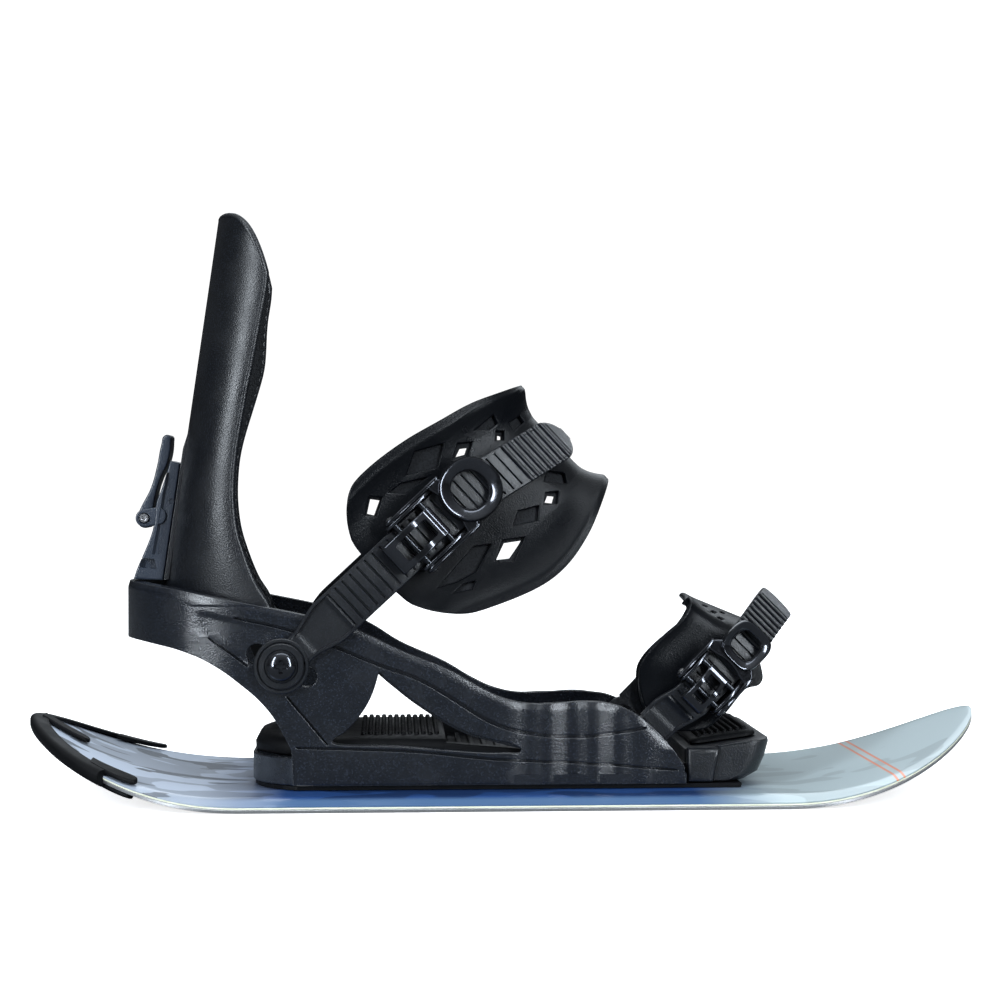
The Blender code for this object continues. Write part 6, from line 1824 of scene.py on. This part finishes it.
class SkiboardToeStrap(bpy.types.Operator):
    """Toe strap: ladder, pad and connector"""

    bl_idname = "skiboard.toe_strap"
    bl_label = "Toe strap"

    def execute(self, context):
        strap = toe_strap()
        leave = strap.length_at(0.06)

        def drift(length):
            return blend(0.0, 0.0028, (length - 0.012) / 0.016) - blend(0.0, 0.0022, (length - leave) / 0.027)

        teeth = Ladder(strap, TOE_EYE_RADIUS, TOE_LADDER_WIDTH, 0.0085, 0.018, 0.0215)
        teeth = teeth.mesh((0.0038, 0.0023), leave + 0.0265, leave, drift, 0.3, 8.0)
        body = together(teeth, eye_ring(strap, -1, TOE_EYE_RADIUS, 0.0))
        piece("toe_ladder_fine", body, "black_nylon", "toe_strap", ["toe_ladder"])
        pad = toe_pad()
        total = pad.strap.total
        slots = []
        starts = ((0.07, -0.018), (0.07, -0.0115), (0.077, -0.015), (0.083, -0.019), (0.084, -0.011))
        for x, y in starts:
            slots.append(capsule(x, y, x + 0.0035, y + 0.0008, 0.0008))
            slots.append(capsule(total - x - 0.0035, y + 0.0108, total - x, y + 0.01, 0.0008))
        shell = pad.layer(0.0, slots, -0.0012, 0.0014, 0.001)
        piece("toe_pad_shell", shell, "pad_nylon", "toe_strap", ["toe_pad"], 50)
        lining = pad.layer(0.003, [], -0.0018, -0.001, 0.0002)
        lining = piece("toe_pad_lining", lining, "foam", "toe_strap")
        far = connector(strap, TOE_EYE_RADIUS, TOE_LADDER_WIDTH, 0.0085, 0.006, strap.length_at(0.04))
        body = together(far, eye_ring(strap, 1, TOE_EYE_RADIUS, 0.0))
        piece("toe_connector_fine", body, "black_nylon", "toe_strap", ["toe_connector"])
        dressed("toe_connector_screw", "bright_steel")
        return {"FINISHED"}


# Buckles

FRAME_WALL = 0.0015
LEVER_WALL = 0.0018
RING_RADIUS = {"ankle": 0.0144, "toe": 0.01}
RING_PLACE = {"ankle": 0.018, "toe": 0.016}
# A circle has 1. Less makes the ring squarer
RING_SQUARENESS = {"ankle": 0.92, "toe": 0.6}
BUCKLE_PIN_RADIUS = 0.0014


class Buckle:
    """Ratchet buckle. Its own +X runs up the strap and its +Z points out from the foot."""

    def __init__(self, prefix, seat, ladder_width, scale):
        self.prefix = prefix
        self.seat = seat
        self.scale = scale
        self.wall_in = ladder_width / 2 + 0.0006
        self.wall_out = self.wall_in + FRAME_WALL
        self.arm_in = self.wall_out + GAP
        self.arm_out = self.arm_in + LEVER_WALL
        self.floor_low = -(PAD_OFFSET - PAD_THICKNESS / 2) + GAP
        self.lever_pin = (-0.0175 * scale, 0.0046)
        self.release_pin = (-0.003 * scale, 0.0054)
        self.ring_radius = RING_RADIUS[prefix]
        self.ring_at = RING_PLACE[prefix]

    def set_in(self, part, bm, look, body):
        replaced = [f"{self.prefix}_{part}"]
        piece(f"{self.prefix}_{part}_fine", moved(bm, self.seat), look, f"{self.prefix}_{body}", replaced, 40)

    def frame(self):
        scale = self.scale
        side = [
            (-0.0215 * scale, self.floor_low), (0.0105 * scale, self.floor_low),
            (0.0105 * scale, -0.0015), (0.006 * scale, 0.001),
            *smooth(
                (0.003 * scale, 0.006), (0.0, 0.0078),
                (-0.0195 * scale, 0.0078), (-0.0215 * scale, 0.006),
            ),
        ]
        middle = (self.wall_in + self.wall_out) / 2
        walls = []
        for y in (-middle, middle):
            wall = plate([side], -FRAME_WALL / 2, FRAME_WALL / 2, 0.0004)
            walls.append(upright(wall, y))
        deck = [rectangle(-0.0215 * scale, -self.wall_out + 0.0003, 0.0105 * scale, self.wall_out - 0.0003)]
        deck.append(rectangle(-0.015 * scale, -0.005 * scale, -0.006 * scale, 0.005 * scale))
        walls.append(plate(deck, self.floor_low, self.floor_low + 0.0013, 0.0003))
        rivet = [(0.0, 0.0009), (0.0012, 0.0007), (0.0018, 0.0), (0.0, 0.0)]
        for x in (-0.0185 * scale, 0.0075 * scale):
            walls.append(turned(rivet, Matrix.Translation((x, 0, self.floor_low + 0.0012)), 20))
        self.set_in("buckle_frame", together(*walls), "black_metal", "strap")

    def pin(self, part, place, reach, body):
        """Blackened pin with bright peened heads."""
        x, z = place
        steps = ((0.0, 0.0006), (0.8, 0.0004), (1.3, -0.0002), (1.0, -0.0004))
        end = [(BUCKLE_PIN_RADIUS * share, reach + past) for share, past in steps]
        across = Matrix.Translation((x, 0, z)) @ Matrix.Rotation(math.pi / 2, 4, "X")
        bar = turned(both_ends(end), across, 24)
        for face in bar.faces:
            face.material_index = 1 if abs(face.calc_center_median().y) > reach - 0.0006 else 0
        name = f"{self.prefix}_{part}"
        made = piece(f"{name}_fine", moved(bar, self.seat), "dark_steel", f"{self.prefix}_{body}", [name], 40)
        made.data.materials.append(finish("bright_steel"))

    def ring(self, x, outer, inner, square):
        """Dished ring of the lever: its flange rises from the inner lip to the outer rim."""
        steps = 72
        section = [
            (0.0, 0.004), (0.0, 0.0056), (0.06, 0.0065), (0.25, 0.0073), (0.5, 0.008),
            (0.72, 0.0086), (0.84, 0.0087), (0.94, 0.008), (1.0, 0.0063), (1.0, 0.005),
            (0.92, 0.0042),
        ]
        rings = []
        for i in range(steps):
            angle = 2 * math.pi * i / steps
            along = math.copysign(abs(math.cos(angle)) ** square, math.cos(angle))
            across = math.copysign(abs(math.sin(angle)) ** square, math.sin(angle))
            ring = []
            for share, z in section:
                reach_x = inner[0] + (outer[0] - inner[0]) * share
                reach_y = inner[1] + (outer[1] - inner[1]) * share
                ring.append(Vector((x + reach_x * along, reach_y * across, z)))
            rings.append(ring)
        return skin(rings, closed=True)

    def lever(self):
        """Drive lever: two arms on the pin, a web across them, and a dished ring that the thumb pulls."""
        scale = self.scale
        pin_x, pin_z = self.lever_pin
        ring_x = self.ring_at
        reach = self.ring_radius
        ring = self.ring(ring_x, (reach, reach), (reach * 0.56, reach * 0.6), RING_SQUARENESS[self.prefix])
        web = [
            (0.004 * scale, -self.arm_out),
            *smooth(
                (0.0085 * scale, -self.arm_out), (ring_x - reach * 0.5, -reach * 0.9),
                (ring_x - reach * 0.3, -reach * 0.7), (ring_x - reach * 0.66, -reach * 0.35),
                (ring_x - reach * 0.72, 0.0), (ring_x - reach * 0.66, reach * 0.35),
                (ring_x - reach * 0.3, reach * 0.7), (ring_x - reach * 0.5, reach * 0.9),
                (0.0085 * scale, self.arm_out),
            ),
            (0.004 * scale, self.arm_out),
            *smooth(
                (0.0046 * scale, self.arm_in * 0.85), (0.0072 * scale, 0.0),
                (0.0046 * scale, -self.arm_in * 0.85),
            ),
        ]
        deck = plate([web], 0.0048, 0.007, 0.0009, round_steps=4)
        side = smooth(
            (pin_x - 0.0026, pin_z - 0.0022), (pin_x - 0.0032, pin_z),
            (pin_x - 0.0022, pin_z + 0.0026), (pin_x + 0.0006, pin_z + 0.0034),
            (-0.006 * scale, 0.0074), (0.0085 * scale, 0.007),
            (0.011 * scale, 0.006), (0.009 * scale, 0.004),
            (0.001 * scale, 0.0012), (-0.009 * scale, 0.0008),
        )
        half = LEVER_WALL / 2
        arms = []
        for y in (-self.arm_in - half, self.arm_in + half):
            arms.append(upright(plate([side], -half, half, 0.0006, round_steps=3), y))
        self.set_in("buckle_lever", together(ring, deck, *arms), "black_metal", "lever")

    def release(self):
        """Release: an open tab on its own pin, arched over the lever pin."""
        scale = self.scale
        pin_x, pin_z = self.release_pin
        half = 0.0076 * scale
        arch = smooth(
            (pin_x + 0.0022, pin_z), (pin_x + 0.0012, pin_z + 0.002),
            (pin_x - 0.002 * scale, pin_z + 0.0028), (-0.011 * scale, 0.0112),
            (-0.018 * scale, 0.0118), (-0.025 * scale, 0.0106), (-0.0296 * scale, 0.008),
            (-0.0288 * scale, 0.0052), (-0.0246 * scale, 0.0054), (-0.018 * scale, 0.0084),
            (-0.011 * scale, 0.008),
            (pin_x - 0.0028, pin_z + 0.0004), (pin_x - 0.0014, pin_z - 0.0018),
            (pin_x + 0.0006, pin_z - 0.0021),
        )
        tab = upright(plate([arch], -half, half, 0.0007, steps=5, round_steps=3), 0.0)
        opening = [
            (-0.0245 * scale, -0.004 * scale), (-0.0235 * scale, -0.0046 * scale),
            (-0.007 * scale, -0.0046 * scale), (-0.006 * scale, -0.004 * scale),
            (-0.006 * scale, 0.004 * scale), (-0.007 * scale, 0.0046 * scale),
            (-0.0235 * scale, 0.0046 * scale), (-0.0245 * scale, 0.004 * scale),
        ]
        self.set_in("buckle_release", carved(tab, plate([opening], 0.0, 0.02)), "black_metal", "release")

    def build(self):
        self.frame()
        self.pin("lever_pin", self.lever_pin, self.arm_out + 0.0003, "strap")
        self.pin("release_pin", self.release_pin, self.wall_out - 0.0007, "strap")
        self.lever()
        self.release()


class SkiboardBuckles(bpy.types.Operator):
    """Both ratchet buckles"""

    bl_idname = "skiboard.buckles"
    bl_label = "Buckles"

    def execute(self, context):
        strap = ankle_strap()
        Buckle("ankle", strap.seat(strap.length_at(0.095)), ANKLE_LADDER_WIDTH, 1.0).build()
        strap = toe_strap()
        Buckle("toe", strap.seat(strap.length_at(0.0435), side=0.0028), TOE_LADDER_WIDTH, 0.72).build()
        return {"FINISHED"}


# Fasteners

WASHER_THICKNESS = 0.0012
WASHER_RIM = 0.01
NUT_THICKNESS = 0.0035


def cross_recess(depth, span, width):
    """Cutters for the cross in a screw's head, whose top is at height 0."""
    corners = ((-1, -1), (1, -1), (1, 1), (-1, 1))
    arms = []
    for reach_x, reach_y in ((span, width), (width, span)):
        low = [Vector((x * reach_x * 0.7, y * reach_y * 0.7, -depth)) for x, y in corners]
        high = [Vector((x * reach_x * 1.1, y * reach_y * 1.1, 0.0012)) for x, y in corners]
        arms.append(skin([low, high]))
    return arms


def screw_head(top, radius, height, foot, shank, matrix):
    """Domed screw with a cross recess. Top is the height of the dome, foot that of the shank's end."""
    profile = [(0.0, top)]
    widest = math.sin(math.radians(80))
    for i in range(1, 9):
        angle = math.radians(10 * i)
        profile.append((radius * math.sin(angle) / widest, top - height * (1 - math.cos(angle))))
    profile += [(radius, top - height), (shank, top - height), (shank, foot), (0.0, foot)]
    head = turned(profile, Matrix.Identity(4), 48)
    for arm in cross_recess(height * 0.75, radius * 0.52, radius * 0.15):
        head = carved(head, moved(arm, Matrix.Translation((0, 0, top))))
    return moved(head, matrix)


class SkiboardFasteners(bpy.types.Operator):
    """Bolts, washers and nuts"""

    bl_idname = "skiboard.fasteners"
    bl_label = "Fasteners"

    def execute(self, context):
        outer = ANKLE_HALF_SPAN + LADDER_THICKNESS / 2 + 0.0001
        washer_low = outer + GAP
        washer_high = washer_low + WASHER_THICKNESS
        head_low = washer_high + GAP
        nut_high = BASE_HALF_WIDTH - RAIL_THICKNESS - GAP - EAR_THICKNESS - GAP
        foot = nut_high - NUT_THICKNESS - 0.0006
        bore = BOLT_RADIUS + GAP
        for name, side in (("near", -1), ("far", 1)):
            place = facing_side(STRAP_BOLT_X, 0.0, STRAP_BOLT_Z, side)
            bolt = screw_head(head_low + 0.003, 0.0064, 0.0029, foot, BOLT_RADIUS, place)
            piece(f"ankle_bolt_{name}_fine", bolt, "black_metal", "ankle_strap", [f"ankle_bolt_{name}"])
            ring = [
                (bore, washer_low), (0.0097, washer_low), (WASHER_RIM, washer_low + 0.0003),
                (WASHER_RIM, washer_high - 0.0003), (0.0097, washer_high), (0.0075, washer_high),
                (0.0071, washer_high - 0.0005), (bore, washer_high - 0.0005),
            ]
            washer = turned(ring, place, 64, ring=True)
            piece(f"ankle_washer_{name}_fine", washer, "black_nylon", "ankle_strap", [f"ankle_washer_{name}"])
            dressed(f"ankle_nut_{name}", "bright_steel", 0.0004)
            dressed(f"toe_bolt_{name}", "black_metal")
        return {"FINISHED"}


# Stage

CAMERA_PLACE = (-0.054, -0.97, 0.1412)
CAMERA_DOWN = 0.41
CAMERA_TURN = -3.03
CAMERA_LENS = 74.7
LIGHT_COLOUR = (0.86, 0.93, 1.0)
# Brightness of the room that the part reflects, from straight down to straight up
ROOM_LIGHT = ((0.0, 0.01), (0.1, 0.03), (0.5, 0.16), (1.0, 0.95))


class SkiboardStage(bpy.types.Operator):
    """Pale floor, soft studio light and the camera"""

    bl_idname = "skiboard.stage"
    bl_label = "Stage"

    def execute(self, context):
        make_floor()
        make_lights(context.scene)
        make_camera(context.scene)
        return {"FINISHED"}


def make_floor():
    bm = bmesh.new()
    bmesh.ops.create_circle(bm, cap_ends=True, segments=96, radius=9.0)
    mesh = bpy.data.meshes.new("floor")
    bm.to_mesh(mesh)
    bm.free()
    floor = bpy.data.objects.new("floor", mesh)
    floor.location.z = -0.0003
    bpy.context.scene.collection.objects.link(floor)
    recipe = Recipe("pale_floor")
    cloud = recipe.noise(3.0)
    pale = recipe.mix(cloud, (0.92, 0.92, 0.93), (0.96, 0.96, 0.96))
    seen = recipe.node("LightPath").outputs["Is Camera Ray"]
    recipe.set(Base_Color=recipe.mix(seen, (0.16, 0.165, 0.17), pale), Roughness=1.0, Specular_IOR_Level=0.0)
    recipe.set(Emission_Color=(1.0, 1.0, 1.0), Emission_Strength=recipe.math("MULTIPLY", seen, 0.75))
    mesh.materials.append(recipe.made)


def make_lights(scene):
    """White backdrop for the eye; a bright ceiling and dim sides for everything else; four soft boxes."""
    world = bpy.data.worlds.new("studio")
    scene.world = world
    world.use_nodes = True
    tree = world.node_tree
    backdrop = tree.nodes["Background"]
    backdrop.inputs["Color"].default_value = (1.0, 1.0, 1.0, 1.0)
    backdrop.inputs["Strength"].default_value = 1.1
    room = tree.nodes.new("ShaderNodeBackground")
    way = tree.nodes.new("ShaderNodeTexCoord")
    apart = tree.nodes.new("ShaderNodeSeparateXYZ")
    tree.links.new(way.outputs["Generated"], apart.inputs["Vector"])
    ramp = tree.nodes.new("ShaderNodeValToRGB")
    tree.links.new(apart.outputs["Z"], ramp.inputs["Fac"])
    for place, _light in ROOM_LIGHT[1:-1]:
        ramp.color_ramp.elements.new(place)
    for element, (place, light) in zip(ramp.color_ramp.elements, ROOM_LIGHT):
        element.position = place
        element.color = (light * 0.92, light * 0.97, light, 1.0)
    tree.links.new(ramp.outputs["Color"], room.inputs["Color"])
    room.inputs["Strength"].default_value = 1.0
    seen = tree.nodes.new("ShaderNodeLightPath")
    choice = tree.nodes.new("ShaderNodeMixShader")
    tree.links.new(seen.outputs["Is Camera Ray"], choice.inputs["Fac"])
    tree.links.new(room.outputs["Background"], choice.inputs[1])
    tree.links.new(backdrop.outputs["Background"], choice.inputs[2])
    tree.links.new(choice.outputs["Shader"], tree.nodes["World Output"].inputs["Surface"])
    soft_box("box_left", (-1.1, -1.3, 0.6), (-0.05, 0.0, 0.1), 0.2, 1.4, 34.0)
    soft_box("box_right", (0.95, -1.3, 0.6), (0.05, 0.0, 0.08), 0.15, 1.4, 28.0)
    soft_box("box_top", (0.0, -0.35, 1.3), (0.0, 0.0, 0.08), 1.3, 0.25, 7.0)
    soft_box("box_back", (0.3, 1.3, 1.0), (0.0, 0.0, 0.12), 1.6, 0.9, 8.0)


def soft_box(name, place, target, width, height, power):
    data = bpy.data.lights.new(name, "AREA")
    data.shape = "RECTANGLE"
    data.size = width
    data.size_y = height
    data.energy = power
    data.color = LIGHT_COLOUR
    light = bpy.data.objects.new(name, data)
    light.location = place
    light.rotation_euler = (Vector(target) - Vector(place)).to_track_quat("-Z", "Y").to_euler()
    bpy.context.scene.collection.objects.link(light)


def make_camera(scene):
    data = bpy.data.cameras.new("camera")
    data.lens = CAMERA_LENS
    data.sensor_width = 36.0
    camera = bpy.data.objects.new("camera", data)
    camera.location = CAMERA_PLACE
    camera.rotation_euler = (math.radians(90 - CAMERA_DOWN), 0.0, math.radians(CAMERA_TURN))
    scene.collection.objects.link(camera)
    scene.camera = camera
    scene.view_settings.view_transform = "Standard"


def length_setting(name, description, default):
    return FloatProperty(
        name=name, description=description, default=default, min=0.0, unit="LENGTH", precision=5
    )


def colour_setting(name, description, default):
    return FloatVectorProperty(
        name=name, description=description, default=default, subtype="COLOR", size=3, min=0.0, max=1.0
    )


class SkiboardSizes(bpy.types.PropertyGroup):
    groove_width: length_setting("Groove width", "Width of the grooves in the rails", 0.0007)
    groove_depth: length_setting("Groove depth", "Depth of the grooves in the rails", 0.0024)
    bead_radius: length_setting("Bead radius", "Radius of the rolled edge of the highback", 0.0019)


class SkiboardColours(bpy.types.PropertyGroup):
    nylon: colour_setting("Nylon", "Black nylon of the binding", (0.0022, 0.0028, 0.0042))
    block: colour_setting("Lean block", "Grey blue nylon of the lean adjuster", (0.015, 0.021, 0.033))
    pad: colour_setting("Pads", "Nylon of the strap pads", (0.0016, 0.0021, 0.0031))
    rubber: colour_setting("Rubber", "Black rubber", (0.002, 0.0022, 0.0028))
    chrome: colour_setting("Buckle metal", "Black plated metal", (0.04, 0.042, 0.048))
    core: colour_setting("Sidewall", "Pale plastic of the board's side", (0.7, 0.72, 0.55))
    sheet_dark: colour_setting("Topsheet middle", "Navy under the binding", (0.009, 0.031, 0.105))
    sheet_blue: colour_setting("Topsheet band", "Blue along the edges", (0.066, 0.128, 0.245))
    sheet_nose: colour_setting("Topsheet nose", "Ice blue of the nose", (0.38, 0.46, 0.48))
    sheet_tail: colour_setting("Topsheet tail", "Grey blue of the tail", (0.37, 0.42, 0.5))
    sheet_accent: colour_setting("Topsheet accent", "Thin lines across the nose", (0.7, 0.17, 0.05))


BUILDERS = (
    SkiboardStage,
    SkiboardBoard,
    SkiboardBumper,
    SkiboardChassis,
    SkiboardFootbeds,
    SkiboardToeRamp,
    SkiboardHighback,
    SkiboardLeanAdjuster,
    SkiboardAnkleStrap,
    SkiboardToeStrap,
    SkiboardBuckles,
    SkiboardFasteners,
)


class SkiboardPanel(bpy.types.Panel):
    """Builds the skiboard piece by piece"""

    bl_idname = "VIEW3D_PT_skiboard"
    bl_label = "Skiboard"
    bl_space_type = "VIEW_3D"
    bl_region_type = "UI"
    bl_category = "Skiboard"

    def draw(self, context):
        for group in (context.scene.skiboard_sizes, context.scene.skiboard_colours):
            for key in group.__annotations__:
                self.layout.prop(group, key)
        for builder in BUILDERS:
            self.layout.operator(builder.bl_idname)


CLASSES = (SkiboardSizes, SkiboardColours, *BUILDERS, SkiboardPanel)


def register():
    for one in CLASSES:
        bpy.utils.register_class(one)
    bpy.types.Scene.skiboard_sizes = PointerProperty(type=SkiboardSizes)
    bpy.types.Scene.skiboard_colours = PointerProperty(type=SkiboardColours)


def unregister():
    del bpy.types.Scene.skiboard_colours
    del bpy.types.Scene.skiboard_sizes
    for one in reversed(CLASSES):
        bpy.utils.unregister_class(one)


def main():
    register()
    bpy.ops.skiboard.stage()
    bpy.ops.skiboard.board()
    bpy.ops.skiboard.bumper()
    bpy.ops.skiboard.chassis()
    bpy.ops.skiboard.footbeds()
    bpy.ops.skiboard.toe_ramp()
    bpy.ops.skiboard.highback()
    bpy.ops.skiboard.lean_adjuster()
    bpy.ops.skiboard.ankle_strap()
    bpy.ops.skiboard.toe_strap()
    bpy.ops.skiboard.buckles()
    bpy.ops.skiboard.fasteners()


if __name__ == "__main__":
    main()
